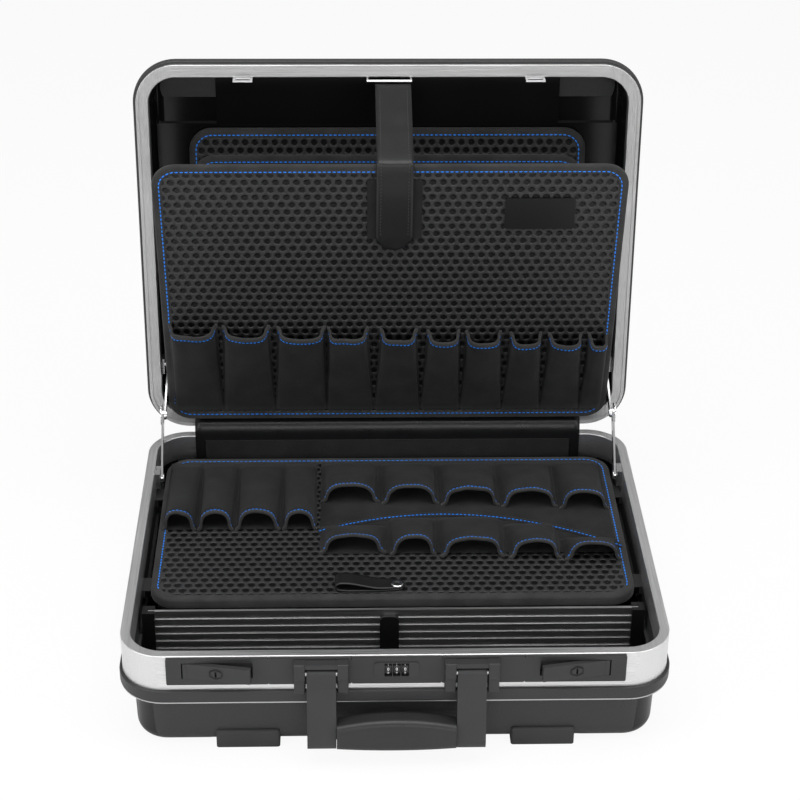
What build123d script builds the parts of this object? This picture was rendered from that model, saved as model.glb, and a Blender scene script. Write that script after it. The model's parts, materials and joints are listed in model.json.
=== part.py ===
from build123d import *
import math
import os

# A hard tool case, standing open: a deep base that lies on its back, and a shallow lid that
# leans back on its hinge.  Millimetres and degrees.  While it is drawn, X runs across the case,
# Y runs from the handle side of the rim (0) to the hinge side, and Z is 0 on the rim of the base.

# ---- rim and shells ----
case_width = 470.0
case_depth = 370.0
corner_radius = 38.0
base_band_height = 35.0
base_lip_width = 9.0
base_inner_wall_height = 25.6
lid_band_height = 4.5
lid_lip_width = 12.0
lid_inner_wall_height = 8.0
frame_sheet = 2.2
rim_gap = 1.0
ridge_height = 0.8
ridge_width = 3.0
tongue_clearance = 0.2
rim_edge_radius = 0.8
belt_proud = 2.7
base_belt_height = 12.0
lid_belt_height = 8.0
belt_edge_radius = 1.6
shelf_thickness = 3.0
body_recess = 9.0
shell_wall = 3.5
body_draft = 1.5
panel_edge_radius = 12.0
base_total_depth = 100.5
lid_total_depth = 57.0
corner_pad_reach = 75.0
corner_pad_step = 4.0

# ---- feet ----
foot_inner_x = 100.0
foot_width = 55.0
foot_wrap_height = 17.5
foot_under_length = 30.0
foot_proud = 2.0
foot_drop = 2.5
foot_edge_radius = 2.5

# ---- hinge and opening angle ----
lid_lean_back = 4.0
hinge_setback = 3.4
hinge_x = 130.0
hinge_length = 70.0
hinge_knuckles = 5
hinge_knuckle_radius = 3.1
hinge_pin_radius = 1.5
hinge_leaf_thickness = 1.5
hinge_leaf_height = 17.0
knuckle_clearance = 0.3

# ---- fits ----
pin_clearance = 0.05
face_clearance = 0.3
window_clearance = 0.2

# ---- plates on the handle side of the band ----
plate_thickness = 3.0
plate_top = -1.0
plate_height = 26.5
plate_corner_radius = 1.5

# ---- locks ----
lock_plate_width = 86.0
lock_pocket_length = 60.0
lock_pocket_height = 16.0
lock_pocket_depth = 5.2
lock_pocket_wall = 1.4
lock_level = -13.0
lever_thickness = 4.0
lever_barrel_radius = 2.8
lever_pin_radius = 1.5
lever_swing_at_rest = 10.0
lever_gap = 0.5
key_radius = 5.0
key_length = 8.2
key_slot_width = 1.6
key_slot_length = 6.0
key_slot_depth = 2.5
key_clearance = 0.08

# ---- strikers on the lid and the cases that take them ----
striker_offset = 16.2
striker_width = 18.0
striker_thickness = 1.4
striker_drop = 10.0
striker_bar = 2.2
lock_case_width = 30.0
lock_case_depth = 10.0
lock_case_top = -7.0
lock_case_height = 17.0
striker_slot_clearance = 1.2
striker_slot_depth = 6.0

# ---- combination lock ----
combination_width = 76.0
dial_panel_width = 38.0
dial_panel_height = 15.5
dial_panel_proud = 0.8
dial_count = 3
dial_pitch = 7.1
dial_width = 6.0
dial_radius = 6.5
dial_proud = 0.8
dial_gap = 0.2
dial_axle_radius = 1.2
combination_wall = 1.5

# ---- handle ----
handle_x = 63.5
handle_plate_width = 70.0
bracket_width = 46.0
bracket_opening = 27.0
bracket_proud = 11.6
bracket_top = -2.0
bracket_bottom = -33.0
bracket_bridge = 5.0
bracket_step = -18.0
bracket_step_depth = 2.0
handle_pin_y = -7.4
handle_pin_z = -13.0
handle_pin_radius = 2.2
arm_width = 24.6
arm_barrel_radius = 4.0
arm_thickness = 6.5
arm_end_y = -14.0
arm_end_z = -78.0
arm_end_radius = 8.0
grip_half_length = 50.8
grip_centre_z = -72.0
grip_depth = 20.0
grip_end_height = 24.0
grip_arch = 6.0
grip_belly = 2.0
grip_edge_radius = 6.0
grip_core_radius = 5.0

# ---- stays ----
stay_base_setback = 70.0
stay_base_z = -10.0
stay_lid_up = 62.9
stay_lid_in = 18.2
stay_lower_length = 61.2
stay_lower_angle = 51.6
stay_bar_width = 10.0
stay_bar_thickness = 1.8
stay_bar_inset = 9.6
stay_bar_gap = 0.5
stay_disc_radius = 10.0
stay_disc_thickness = 0.8
stay_pin_radius = 2.0
stay_head_radius = 4.0
stay_head_gap = 0.1
stay_head_thickness = 0.6
stay_bracket_width = 16.0
stay_bracket_depth = 5.0

# ---- boards ----
lid_board_side_gap = 20.0
lid_board_shortfall = 73.0
lid_board_thickness = 5.0
lid_board_corner = 22.0
board_edge_radius = 1.8
front_board_up = 21.6
front_board_in = -13.5
front_board_tilt = 15.0
rear_board_side_gap = 45.0
rear_board_shortfall = 71.0
rear_board_in = 43.7
middle_board_side_gap = 47.5
middle_board_shortfall = 96.0
middle_board_in = 37.7
rail_height = 3.2
rail_end_gap = 10.0
rail_overhang = 0.5
board_rail_clearance = 0.3
flap_thickness = 0.8
flap_board_gap = 0.2
flap_end_gap = 27.0
flap_length = 16.0
base_board_side_gap = 9.0
base_board_front_gap = 4.0
base_board_rear_gap = 18.0
base_board_top = -15.0
base_board_thickness = 10.0
base_board_corner = 24.0
base_board_edge = 4.0
board_rest_length = 20.0
board_rest_height = 8.0
board_rest_reach = 12.0

# ---- pockets sewn on the boards: each is a tapering loop, open towards the handle side ----
pocket_cloth = 1.6
pocket_height = 20.0
pocket_sewn_height = 1.2
lid_pocket_shares = (45.0, 44.0, 45.0, 38.0, 34.0, 30.0, 33.0, 29.0, 31.0, 17.0)
lid_gap_shares = (6.0, 8.0, 3.0, 13.0, 11.0, 7.0, 10.0, 8.0, 8.0)
lid_pocket_margin = 6.0
lid_pocket_end_margin = 4.0
lid_pocket_foot = 12.0
lid_pocket_mouth_left = 118.0
lid_pocket_mouth_right = 104.0
left_pocket_widths = (30.0, 32.0, 41.0, 31.0)
left_pocket_gap = 3.0
pocket_row_gap = 4.0
left_pocket_length = 117.0
rear_pocket_shares = (56.0, 54.0, 55.0, 53.0, 46.0)
rear_row_end_gap = 9.0
rear_pocket_gap = 2.5
rear_pocket_length = 71.0
rear_pocket_fall = 14.0
front_pocket_shares = (60.0, 41.0, 58.0, 46.0, 51.0)
front_row_end_gap = 7.0
front_pocket_gap = 5.0
front_pocket_reach = 157.0
front_pocket_fall = 14.0
base_pocket_foot_gap = 12.0
seam_left_reach = 120.0
seam_middle_reach = 94.0
seam_right_reach = 148.0
seam_half_width = 4.0
seam_thickness = 1.0
seam_gap = 1.0

# ---- strap, patches and pull tab ----
strap_width = 33.0
strap_x = 3.5
strap_thickness = 1.6
strap_drop = 91.0
strap_over_edge = 3.0
strap_ring_half_width = 20.0
strap_ring_wire = 1.3
strap_ring_drop = 7.0
patch_width = 50.0
patch_height = 65.0
patch_drop = 47.0
patch_thickness = 1.2
patch_x = 3.5
label_width = 64.0
label_height = 34.0
label_x = 136.0
label_drop = 52.0
label_thickness = 0.8
pull_tab_x = -28.0
pull_tab_setback = 19.0
pull_tab_length = 50.0
pull_tab_height = 10.0
pull_tab_width = 17.0
pull_tab_leather = 1.5
pull_tab_tail = 18.0
snap_radius = 5.5
snap_bore = 2.6
snap_height = 2.4

# ---- hinge cover, hook strip and divider ----
cover_end_gap = 44.0
cover_thickness = 1.6
cover_wall_gap = 0.2
cover_bend_radius = 11.0
cover_bottom = -26.0
cover_back = 17.0
hook_end_gap = 10.0
hook_top = -4.0
hook_bottom = -24.5
hook_thickness = 1.2
divider_y = 95.0
divider_thickness = 3.0
divider_top = -22.0
divider_groove_depth = 0.9
divider_grooves = 6
divider_groove_pitch = 8.0
divider_groove_height = 3.6
divider_end_gap = 1.0
divider_clip_x = -4.0
divider_clip_width = 17.0
divider_clip_depth = 4.0
divider_clip_top = -27.0
end_clip_reach = 11.0
end_clip_length = 12.0
end_clip_above = 1.0

# ---- places that follow from the sizes above ----
mid_y = case_depth / 2
hinge_y = case_depth + hinge_setback
hinge_z = rim_gap / 2
open_angle = 90.0 + lid_lean_back
body_inner = body_recess + shell_wall
base_belt_bottom = -base_band_height - base_belt_height
base_floor = -base_total_depth + corner_pad_step + shell_wall
floor_level = -base_total_depth - foot_drop
lid_rim = rim_gap
lid_belt_low = lid_rim + lid_band_height
lid_belt_high = lid_belt_low + lid_belt_height
lean = math.radians(lid_lean_back)
base_opening_x = case_width / 2 - base_lip_width
lid_opening_x = case_width / 2 - lid_lip_width
handle_plate_x = combination_width / 2 + handle_plate_width / 2
lock_x = combination_width / 2 + handle_plate_width + lock_plate_width / 2
striker_x = lock_x - striker_offset
stay_base_y = case_depth - stay_base_setback
stay_upper_inner_x = base_opening_x - stay_bar_inset
stay_bracket_face_x = base_opening_x - stay_bracket_depth
lid_board_width = case_width - 2 * lid_board_side_gap
lid_board_height = case_depth - lid_board_shortfall
rear_board_width = case_width - 2 * rear_board_side_gap
rear_board_top = case_depth - rear_board_shortfall
middle_board_width = case_width - 2 * middle_board_side_gap
middle_board_top = case_depth - middle_board_shortfall
rail_width = rear_board_width - 2 * rail_end_gap
flap_width = lid_board_width - 2 * flap_end_gap
strap_end_height = lid_board_height - strap_drop
patch_middle = lid_board_height - patch_drop
label_middle = lid_board_height - label_drop
cover_half_width = case_width / 2 - cover_end_gap
hook_half_width = cover_half_width - hook_end_gap
base_board_width = 2 * (base_opening_x - base_board_side_gap)
base_board_front = divider_y + divider_thickness + base_board_front_gap
base_board_rear = case_depth - base_lip_width - base_board_rear_gap
base_pocket_foot = base_board_rear - base_pocket_foot_gap
left_pocket_mouth = base_pocket_foot - left_pocket_length
rear_pocket_mouth = base_pocket_foot - rear_pocket_length
front_pocket_mouth = base_pocket_foot - front_pocket_reach
seam_left_y = base_pocket_foot - seam_left_reach
seam_middle_y = base_pocket_foot - seam_middle_reach
seam_right_y = base_pocket_foot - seam_right_reach
pull_tab_y = base_board_front + pull_tab_setback

# ---- rows of pockets, each fitted to the board it is sewn on ----
left_pocket_start = -base_board_width / 2 + pocket_row_gap
left_row_gaps = left_pocket_gap * (len(left_pocket_widths) - 1)
left_row_end = left_pocket_start + sum(left_pocket_widths) + left_row_gaps
right_pockets_start = left_row_end + pocket_row_gap
right_row_length = base_board_width / 2 - right_pockets_start
rear_row_gaps = rear_pocket_gap * (len(rear_pocket_shares) - 1)
rear_row_cloth = right_row_length - rear_row_end_gap - rear_row_gaps
rear_share = rear_row_cloth / sum(rear_pocket_shares)
rear_pocket_widths = [rear_share * share for share in rear_pocket_shares]
front_row_gaps = front_pocket_gap * (len(front_pocket_shares) - 1)
front_row_cloth = right_row_length - front_row_end_gap - front_row_gaps
front_share = front_row_cloth / sum(front_pocket_shares)
front_pocket_widths = [front_share * share for share in front_pocket_shares]
lid_row_length = lid_board_width - lid_pocket_margin - lid_pocket_end_margin
lid_share = lid_row_length / (sum(lid_pocket_shares) + sum(lid_gap_shares))
lid_pocket_widths = [lid_share * share for share in lid_pocket_shares]
lid_pocket_gaps = [lid_share * share for share in lid_gap_shares]


def slab(inset, low, high):
    """A block with the outline of the rim, drawn in by the inset on every side."""
    outline = RectangleRounded(case_width - 2 * inset, case_depth - 2 * inset, corner_radius - inset)
    return Pos(0, mid_y, low) * extrude(outline, high - low)


def band(outer_inset, inner_inset, low, high):
    """A closed ring between two insets of the rim outline."""
    return slab(outer_inset, low, high) - slab(inner_inset, low, high)


def block(x_low, x_high, y_low, y_high, z_low, z_high):
    """A plain box given by its six faces."""
    size = (x_high - x_low, y_high - y_low, z_high - z_low)
    middle = ((x_low + x_high) / 2, (y_low + y_high) / 2, (z_low + z_high) / 2)
    return Pos(*middle) * Box(*size)


def rod_x(radius, x_low, x_high, y, z):
    """A round rod along X."""
    return Pos((x_low + x_high) / 2, y, z) * Rot(0, 90, 0) * Cylinder(radius, x_high - x_low)


def rod_y(radius, x, y_low, y_high, z):
    """A round rod along Y."""
    return Pos(x, (y_low + y_high) / 2, z) * Rot(90, 0, 0) * Cylinder(radius, y_high - y_low)


def rod_z(radius, x, y, z_low, z_high):
    """A round rod along Z."""
    return Pos(x, y, (z_low + z_high) / 2) * Cylinder(radius, z_high - z_low)


def bent_sheet(points, radii, thickness, x_low, x_high):
    """A sheet along X, bent over a path of (y, z) points."""
    path = FilletPolyline(*points, radius=radii)
    section = trace(path, thickness)
    return Pos(x_low, 0, 0) * extrude(Plane.YZ * section, x_high - x_low)


def rounded_plate(x, width, z_middle, height, y_back, thickness, radius):
    """An upright plate on the handle side, with rounded corners."""
    outline = RectangleRounded(width, height, radius)
    return extrude(Plane.XZ.offset(-y_back) * Pos(x, z_middle) * outline, thickness)


def opened(shape):
    """Swings a shape drawn on the closed lid to where it stands when the lid is open."""
    return shape.rotate(Axis((0, hinge_y, hinge_z), (1, 0, 0)), -open_angle)


def lid_point(up, into):
    """The (y, z) place of a point on the open lid, up its rim plane and into its depth."""
    y = hinge_y + up * math.sin(lean) + into * math.cos(lean)
    z = hinge_z + up * math.cos(lean) - into * math.sin(lean)
    return (y, z)


def lid_place(up, into, tilt):
    """A flat drawing (y up the lid, z out of its mouth) stood on the open lid, tilted forward."""
    y, z = lid_point(up, into)
    return Pos(0, y, z) * Rot(90 - lid_lean_back + tilt, 0, 0)


# ---- shells ----


def pan_block(inset, height, pad_start):
    """The moulded body as a solid: drafted walls, a rounded edge and four raised corner pads."""
    width = case_width - 2 * inset
    depth = case_depth - 2 * inset
    outline = RectangleRounded(width, depth, corner_radius - inset)
    solid = extrude(outline, height, taper=body_draft)
    far_edges = solid.faces().sort_by(Axis.Z)[-1].edges()
    solid = fillet(far_edges, panel_edge_radius - (inset - body_recess))
    across = Pos(0, 0, height) * Box(2 * (case_width / 2 - pad_start), depth + 2, 2 * corner_pad_step)
    along = Pos(0, 0, height) * Box(width + 2, 2 * (case_depth / 2 - pad_start), 2 * corner_pad_step)
    return Pos(0, mid_y, 0) * (solid - across - along)


def pan(height):
    """The hollow moulded body, with its mouth at Z 0 and its panel above."""
    outside = pan_block(body_recess, height, corner_pad_reach)
    inside = pan_block(body_inner, height - shell_wall, corner_pad_reach - shell_wall)
    return outside - inside


def belt(low, high):
    """The proud belt round a shell, with softened edges."""
    solid = slab(-belt_proud, low, high)
    edges = solid.faces().sort_by(Axis.Z)[-1].edges() + solid.faces().sort_by(Axis.Z)[0].edges()
    return fillet(edges, belt_edge_radius)


def lock_windows():
    """The openings that the lock bodies and the combination lock pass through in the band."""
    tall = lock_pocket_height + 2 * lock_pocket_wall + 2 * window_clearance
    long = lock_pocket_length + 2 * lock_pocket_wall + 2 * window_clearance
    reach = base_lip_width - frame_sheet
    windows = []
    for side in (-1, 1):
        windows.append(Pos(side * lock_x, reach / 2 - 1, lock_level) * Box(long, reach + 2, tall))
    body_long, body_tall = combination_body()
    opening = Box(
        body_long + 2 * window_clearance, base_lip_width + 4, body_tall + 2 * window_clearance
    )
    windows.append(Pos(0, base_lip_width / 2, lock_level) * opening)
    return windows


def make_base_shell():
    outer_leg = frame_sheet + tongue_clearance
    inner_leg = base_lip_width - frame_sheet - tongue_clearance
    leg_foot = -base_inner_wall_height - tongue_clearance
    shell = belt(base_belt_bottom, -base_band_height)
    shell -= slab(body_inner, base_belt_bottom - 1, -base_band_height + 1)
    shell -= slab(base_lip_width, base_belt_bottom + shelf_thickness, -base_band_height + 1)
    shell += band(outer_leg, base_lip_width, -base_band_height, leg_foot)
    shell += band(outer_leg, inner_leg, leg_foot, -frame_sheet - tongue_clearance)
    body = mirror(pan(base_total_depth + base_belt_bottom), Plane.XY)
    shell += Pos(0, 0, base_belt_bottom) * body
    rest_top = base_board_top - base_board_thickness - face_clearance
    for y in (base_board_front + 30, base_board_rear - 60):
        for side in (-1, 1):
            wall = side * base_opening_x
            low, high = sorted((wall - side * board_rest_reach, wall))
            shell += block(low, high, y, y + board_rest_length, rest_top - board_rest_height, rest_top)
    for window in lock_windows():
        shell -= window
    return shell


def make_base_frame():
    frame = band(0, base_lip_width, -frame_sheet, 0)
    frame += band(0, frame_sheet, -base_band_height, -frame_sheet)
    inner = base_lip_width - frame_sheet
    frame += band(inner, base_lip_width, -base_inner_wall_height, -frame_sheet)
    frame = fillet(frame.faces().sort_by(Axis.Z)[-1].edges(), rim_edge_radius)
    for window in lock_windows():
        frame -= window
    return frame


def make_lid_frame():
    low = lid_rim
    frame = band(0, lid_lip_width, low, low + frame_sheet)
    frame += band(0, frame_sheet, low, low + lid_band_height)
    frame += band(lid_lip_width - frame_sheet, lid_lip_width, low, low + lid_inner_wall_height)
    frame = fillet(frame.faces().sort_by(Axis.Z)[0].edges(), rim_edge_radius)
    ridge = band(rim_edge_radius, ridge_width, low - ridge_height, low + frame_sheet / 2)
    return opened(frame + ridge)


def make_lid_shell():
    leg_top = lid_rim + lid_inner_wall_height + tongue_clearance
    inner_leg = lid_lip_width - frame_sheet - tongue_clearance
    shell = belt(lid_belt_low, lid_belt_high)
    shell -= slab(inner_leg, lid_belt_low - 1, leg_top)
    shell -= slab(body_inner, leg_top - 1, lid_belt_high + 1)
    tongue_low = lid_rim + frame_sheet + tongue_clearance
    shell += band(frame_sheet + tongue_clearance, inner_leg, tongue_low, lid_belt_low)
    shell += Pos(0, 0, lid_belt_high) * pan(lid_total_depth - lid_belt_high)
    return opened(shell)


def make_feet():
    solid_body = Pos(0, 0, base_belt_bottom) * mirror(
        pan_block(body_recess, base_total_depth + base_belt_bottom, corner_pad_reach), Plane.XY
    )
    feet = []
    for side in (-1, 1):
        x_low, x_high = sorted((side * foot_inner_x, side * (foot_inner_x + foot_width)))
        front = body_recess - foot_proud
        foot = block(
            x_low, x_high, front, front + foot_under_length, floor_level, floor_level + foot_wrap_height
        )
        foot = fillet(foot.edges().filter_by(Axis.Z) + foot.faces().sort_by(Axis.Z)[-1].edges(), foot_edge_radius)
        foot -= solid_body
        feet.append(foot)
        feet.append(mirror(foot, Plane.XZ.offset(-mid_y)))
    return feet


# ---- hinge ----


def knuckle_spans(side, own):
    """The X spans of the knuckles that one leaf of a hinge owns: the even ones or the odd ones."""
    pitch = hinge_length / hinge_knuckles
    start = side * hinge_x - hinge_length / 2
    spans = []
    for i in range(own, hinge_knuckles, 2):
        spans.append((start + i * pitch + knuckle_clearance / 2, start + (i + 1) * pitch - knuckle_clearance / 2))
    return spans


def make_base_leaves():
    leaves = []
    wall = case_depth
    leaf_top = hinge_z - hinge_knuckle_radius - 1.5
    for side in (-1, 1):
        x_low = side * hinge_x - hinge_length / 2
        x_high = x_low + hinge_length
        leaf = block(x_low, x_high, wall, wall + hinge_leaf_thickness, leaf_top - hinge_leaf_height, leaf_top)
        for low, high in knuckle_spans(side, 0):
            leaf += block(low, high, wall, wall + hinge_leaf_thickness, leaf_top - 1, hinge_z)
            leaf += rod_x(hinge_knuckle_radius, low, high, hinge_y, hinge_z)
        leaf -= rod_x(hinge_pin_radius + pin_clearance, x_low - 1, x_high + 1, hinge_y, hinge_z)
        leaves.append(leaf)
    return leaves


def make_lid_leaves():
    leaves = []
    band_wall = case_depth
    belt_wall = case_depth + belt_proud
    web_low = lid_belt_low - 1.5
    for side in (-1, 1):
        x_low = side * hinge_x - hinge_length / 2
        x_high = x_low + hinge_length
        outer = belt_wall + hinge_leaf_thickness
        leaf = block(x_low, x_high, band_wall, outer, web_low, lid_belt_low)
        leaf += block(x_low, x_high, belt_wall, outer, web_low, lid_belt_high)
        for low, high in knuckle_spans(side, 1):
            leaf += block(low, high, band_wall, band_wall + hinge_leaf_thickness, hinge_z, web_low + 0.5)
            leaf += rod_x(hinge_knuckle_radius, low, high, hinge_y, hinge_z)
        leaf -= rod_x(hinge_pin_radius + pin_clearance, x_low - 1, x_high + 1, hinge_y, hinge_z)
        leaves.append(opened(leaf))
    return leaves


def make_hinge_pins():
    half = hinge_length / 2
    return [
        rod_x(hinge_pin_radius, side * hinge_x - half, side * hinge_x + half, hinge_y, hinge_z)
        for side in (-1, 1)
    ]


# ---- locks ----


def lever_pin_place(side):
    x = side * (lock_x + lock_pocket_length / 2 - lever_barrel_radius - lever_gap)
    y = -plate_thickness + lever_thickness / 2
    return (x, y)


def make_latch_housing(side):
    middle = plate_top - plate_height / 2
    plate = rounded_plate(
        side * lock_x, lock_plate_width, middle, plate_height, 0, plate_thickness, plate_corner_radius
    )
    body_depth = lock_pocket_depth + lock_pocket_wall
    body = Pos(side * lock_x, body_depth / 2, lock_level) * Box(
        lock_pocket_length + 2 * lock_pocket_wall, body_depth, lock_pocket_height + 2 * lock_pocket_wall
    )
    pocket_depth = plate_thickness + lock_pocket_depth
    pocket_y = (lock_pocket_depth - plate_thickness) / 2
    pocket = Pos(side * lock_x, pocket_y - 0.5, lock_level) * Box(
        lock_pocket_length, pocket_depth + 1, lock_pocket_height
    )
    x, y = lever_pin_place(side)
    half = lock_pocket_height / 2 + lock_pocket_wall
    hole = rod_z(lever_pin_radius + pin_clearance, x, y, lock_level - half, lock_level + half)
    return plate + body - pocket - hole


def make_latch_pins():
    pins = []
    half = lock_pocket_height / 2 + lock_pocket_wall
    for side in (-1, 1):
        x, y = lever_pin_place(side)
        pins.append(rod_z(lever_pin_radius, x, y, lock_level - half, lock_level + half))
    return pins


def swung_lever(side, shape):
    """Turns a shape drawn on the shut lever out to where the lever stands at rest."""
    x, y = lever_pin_place(side)
    return shape.rotate(Axis((x, y, 0), (0, 0, 1)), side * lever_swing_at_rest)


def make_latch_lever(side):
    x, y = lever_pin_place(side)
    tip = side * (lock_x - lock_pocket_length / 2 + lever_gap)
    half = lock_pocket_height / 2 - lever_gap
    low, high = sorted((x, tip))
    front = -plate_thickness
    lever = block(low, high, front, front + lever_thickness, lock_level - half, lock_level + half)
    tip_edges = lever.edges().filter_by(Axis.Z).sort_by(Axis.X)
    tip_edges = tip_edges[:2] if side > 0 else tip_edges[-2:]
    lever = fillet(tip_edges, 1.0)
    lever += rod_z(lever_barrel_radius, x, y, lock_level - half, lock_level + half)
    lever -= rod_z(lever_pin_radius + pin_clearance, x, y, lock_level - half - 1, lock_level + half + 1)
    lever -= rod_y(key_radius + key_clearance, side * lock_x, front - 1, front + lever_thickness + 1, lock_level)
    return swung_lever(side, lever)


def make_key_cylinder(side):
    front = -plate_thickness - 0.4
    cylinder = rod_y(key_radius, side * lock_x, front, front + key_length, lock_level)
    slot = Box(key_slot_width, 2 * key_slot_depth, key_slot_length)
    cylinder -= Pos(side * lock_x, front, lock_level) * slot
    return swung_lever(side, cylinder)


def make_lock_case(side):
    """The black box behind the band that the striker of the lid drops into."""
    front = base_lip_width
    centre = side * striker_x
    case = block(
        centre - lock_case_width / 2, centre + lock_case_width / 2, front, front + lock_case_depth,
        lock_case_top - lock_case_height, lock_case_top,
    )
    case = fillet(case.faces().sort_by(Axis.Y)[-1].edges(), 1.5)
    clear = striker_slot_clearance
    slot = block(
        centre - striker_width / 2 - clear, centre + striker_width / 2 + clear,
        lid_lip_width - 2 * clear, lid_lip_width + striker_thickness + 2 * clear,
        lock_case_top - striker_slot_depth, lock_case_top + 1,
    )
    return case - slot


def make_strikers():
    strikers = []
    for side in (-1, 1):
        centre = side * striker_x
        low = lid_rim - striker_drop
        plate = block(
            centre - striker_width / 2, centre + striker_width / 2,
            lid_lip_width, lid_lip_width + striker_thickness, low, lid_rim + lid_inner_wall_height,
        )
        window = block(
            centre - striker_width / 2 + striker_bar, centre + striker_width / 2 - striker_bar,
            lid_lip_width - 1, lid_lip_width + striker_thickness + 1, low + striker_bar, lid_rim - 0.5,
        )
        strikers.append(opened(plate - window))
    return strikers


def combination_body():
    """Length and height of the lock body behind the dials."""
    long = dial_count * dial_pitch + 2 * combination_wall
    tall = 2 * (dial_radius + dial_gap) + 2 * combination_wall
    return (long, tall)


def dial_x(i):
    return (i - (dial_count - 1) / 2) * dial_pitch


def dial_centre_y():
    return -plate_thickness - dial_panel_proud - dial_proud + dial_radius


def make_combination_housing():
    middle = plate_top - plate_height / 2
    plate = rounded_plate(0, combination_width, middle, plate_height, 0, plate_thickness, plate_corner_radius)
    panel = rounded_plate(
        0, dial_panel_width, lock_level, dial_panel_height, -plate_thickness, dial_panel_proud, 3.0
    )
    long, tall = combination_body()
    back = dial_centre_y() + dial_radius + dial_gap + combination_wall
    body = block(-long / 2, long / 2, 0, back, lock_level - tall / 2, lock_level + tall / 2)
    housing = plate + panel + body
    for i in range(dial_count):
        half = dial_width / 2 + dial_gap
        reach = dial_radius + dial_gap
        housing -= block(
            dial_x(i) - half, dial_x(i) + half, dial_centre_y() - reach - 1, dial_centre_y() + reach,
            lock_level - reach, lock_level + reach,
        )
    hole = rod_x(dial_axle_radius + pin_clearance, -long / 2, long / 2, dial_centre_y(), lock_level)
    return housing - hole


def make_dial_axle():
    long, _ = combination_body()
    return rod_x(dial_axle_radius, -long / 2, long / 2, dial_centre_y(), lock_level)


def make_dial(i):
    half = dial_width / 2
    dial = rod_x(dial_radius, dial_x(i) - half, dial_x(i) + half, dial_centre_y(), lock_level)
    dial = chamfer(dial.edges(), 0.4)
    return dial - rod_x(
        dial_axle_radius + pin_clearance, dial_x(i) - half - 1, dial_x(i) + half + 1, dial_centre_y(), lock_level
    )


# ---- handle ----


def make_handle_bracket(side):
    middle = plate_top - plate_height / 2
    bracket = rounded_plate(
        side * handle_plate_x, handle_plate_width, middle, plate_height, 0, plate_thickness, plate_corner_radius
    )
    ear = (bracket_width - bracket_opening) / 2
    centre = side * handle_x
    for direction in (-1, 1):
        outer = centre + direction * bracket_width / 2
        low, high = sorted((outer, outer - direction * ear))
        upper = block(low, high, -bracket_proud, 0, bracket_step, bracket_top)
        lower = block(low, high, -bracket_proud + bracket_step_depth, 0, bracket_bottom, bracket_step)
        upper = fillet(upper.faces().sort_by(Axis.Y)[0].edges(), 1.2)
        lower = fillet(lower.faces().sort_by(Axis.Y)[0].edges(), 1.2)
        bracket += upper + lower
    bridge = block(
        centre - bracket_opening / 2 - 1, centre + bracket_opening / 2 + 1,
        -bracket_proud + 1.2, 0, bracket_top - bracket_bridge, bracket_top - 0.6,
    )
    bracket += bridge
    half = bracket_width / 2
    return bracket - rod_x(
        handle_pin_radius + pin_clearance, centre - half - 1, centre + half + 1, handle_pin_y, handle_pin_z
    )


def make_handle_pins():
    half = bracket_width / 2
    return [
        rod_x(handle_pin_radius, side * handle_x - half, side * handle_x + half, handle_pin_y, handle_pin_z)
        for side in (-1, 1)
    ]


def handle_arm(side):
    """One arm: a barrel round its pin, and a flat bar that widens into the end of the grip."""
    centre = side * handle_x
    low = centre - arm_width / 2
    top = Pos(handle_pin_y, handle_pin_z) * Circle(arm_barrel_radius)
    neck = Pos(handle_pin_y - 1.0, handle_pin_z - 14.0) * Circle(arm_thickness / 2)
    foot = Pos(arm_end_y, arm_end_z) * Circle(arm_end_radius)
    upper = make_hull((top + neck).edges())
    lower = make_hull((neck + foot).edges())
    arm = Pos(low, 0, 0) * extrude(Plane.YZ * (upper + lower), arm_width)
    return arm - rod_x(
        handle_pin_radius + pin_clearance, low - 1, low + arm_width + 1, handle_pin_y, handle_pin_z
    )


def make_handle_frame():
    inner = handle_x - arm_width / 2
    core = rod_x(grip_core_radius, -inner - 1, inner + 1, arm_end_y, grip_centre_z)
    return handle_arm(-1) + core + handle_arm(1)


def make_handle_grip():
    low = grip_centre_z - grip_end_height / 2
    high = grip_centre_z + grip_end_height / 2
    end = grip_half_length
    bottom = ThreePointArc((-end, low), (0, low - grip_belly), (end, low))
    right = Line((end, low), (end, high))
    top = ThreePointArc((end, high), (0, high + grip_arch), (-end, high))
    left = Line((-end, high), (-end, low))
    outline = make_face([bottom, right, top, left])
    y_front = arm_end_y - grip_depth / 2
    grip = extrude(Plane.XZ.offset(-y_front) * outline, -grip_depth)
    long_edges = grip.faces().sort_by(Axis.Y)[0].edges() + grip.faces().sort_by(Axis.Y)[-1].edges()
    ends = [e for e in long_edges if abs(abs(e.center().X) - end) > 1]
    grip = fillet(ends, grip_edge_radius)
    return grip - rod_x(grip_core_radius + pin_clearance, -end - 1, end + 1, arm_end_y, grip_centre_z)


# ---- stays ----


def stay_bar(y, z, length, angle, x_low, x_high):
    """A flat bar with round ends, from one pivot at an angle in the YZ plane."""
    outline = SlotCenterToCenter(length, stay_bar_width)
    placed = Pos(y, z) * Rot(0, 0, angle) * Pos(length / 2, 0) * outline
    return Pos(x_low, 0, 0) * extrude(Plane.YZ * placed, x_high - x_low)


def stay_lower_inner_x():
    return stay_upper_inner_x + stay_bar_thickness + stay_bar_gap


def elbow_place():
    angle = math.radians(stay_lower_angle)
    y = stay_base_y + stay_lower_length * math.cos(angle)
    z = stay_base_z + stay_lower_length * math.sin(angle)
    return (y, z)


def make_stay_lower(side):
    low = stay_lower_inner_x()
    high = low + stay_bar_thickness
    y, z = elbow_place()
    bar = stay_bar(stay_base_y, stay_base_z, stay_lower_length, stay_lower_angle, low, high)
    bar += rod_x(stay_disc_radius, high, high + stay_disc_thickness, y, z)
    bar -= rod_x(stay_pin_radius + pin_clearance, low - 1, high + 1, stay_base_y, stay_base_z)
    return bar if side > 0 else mirror(bar, Plane.YZ)


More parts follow.
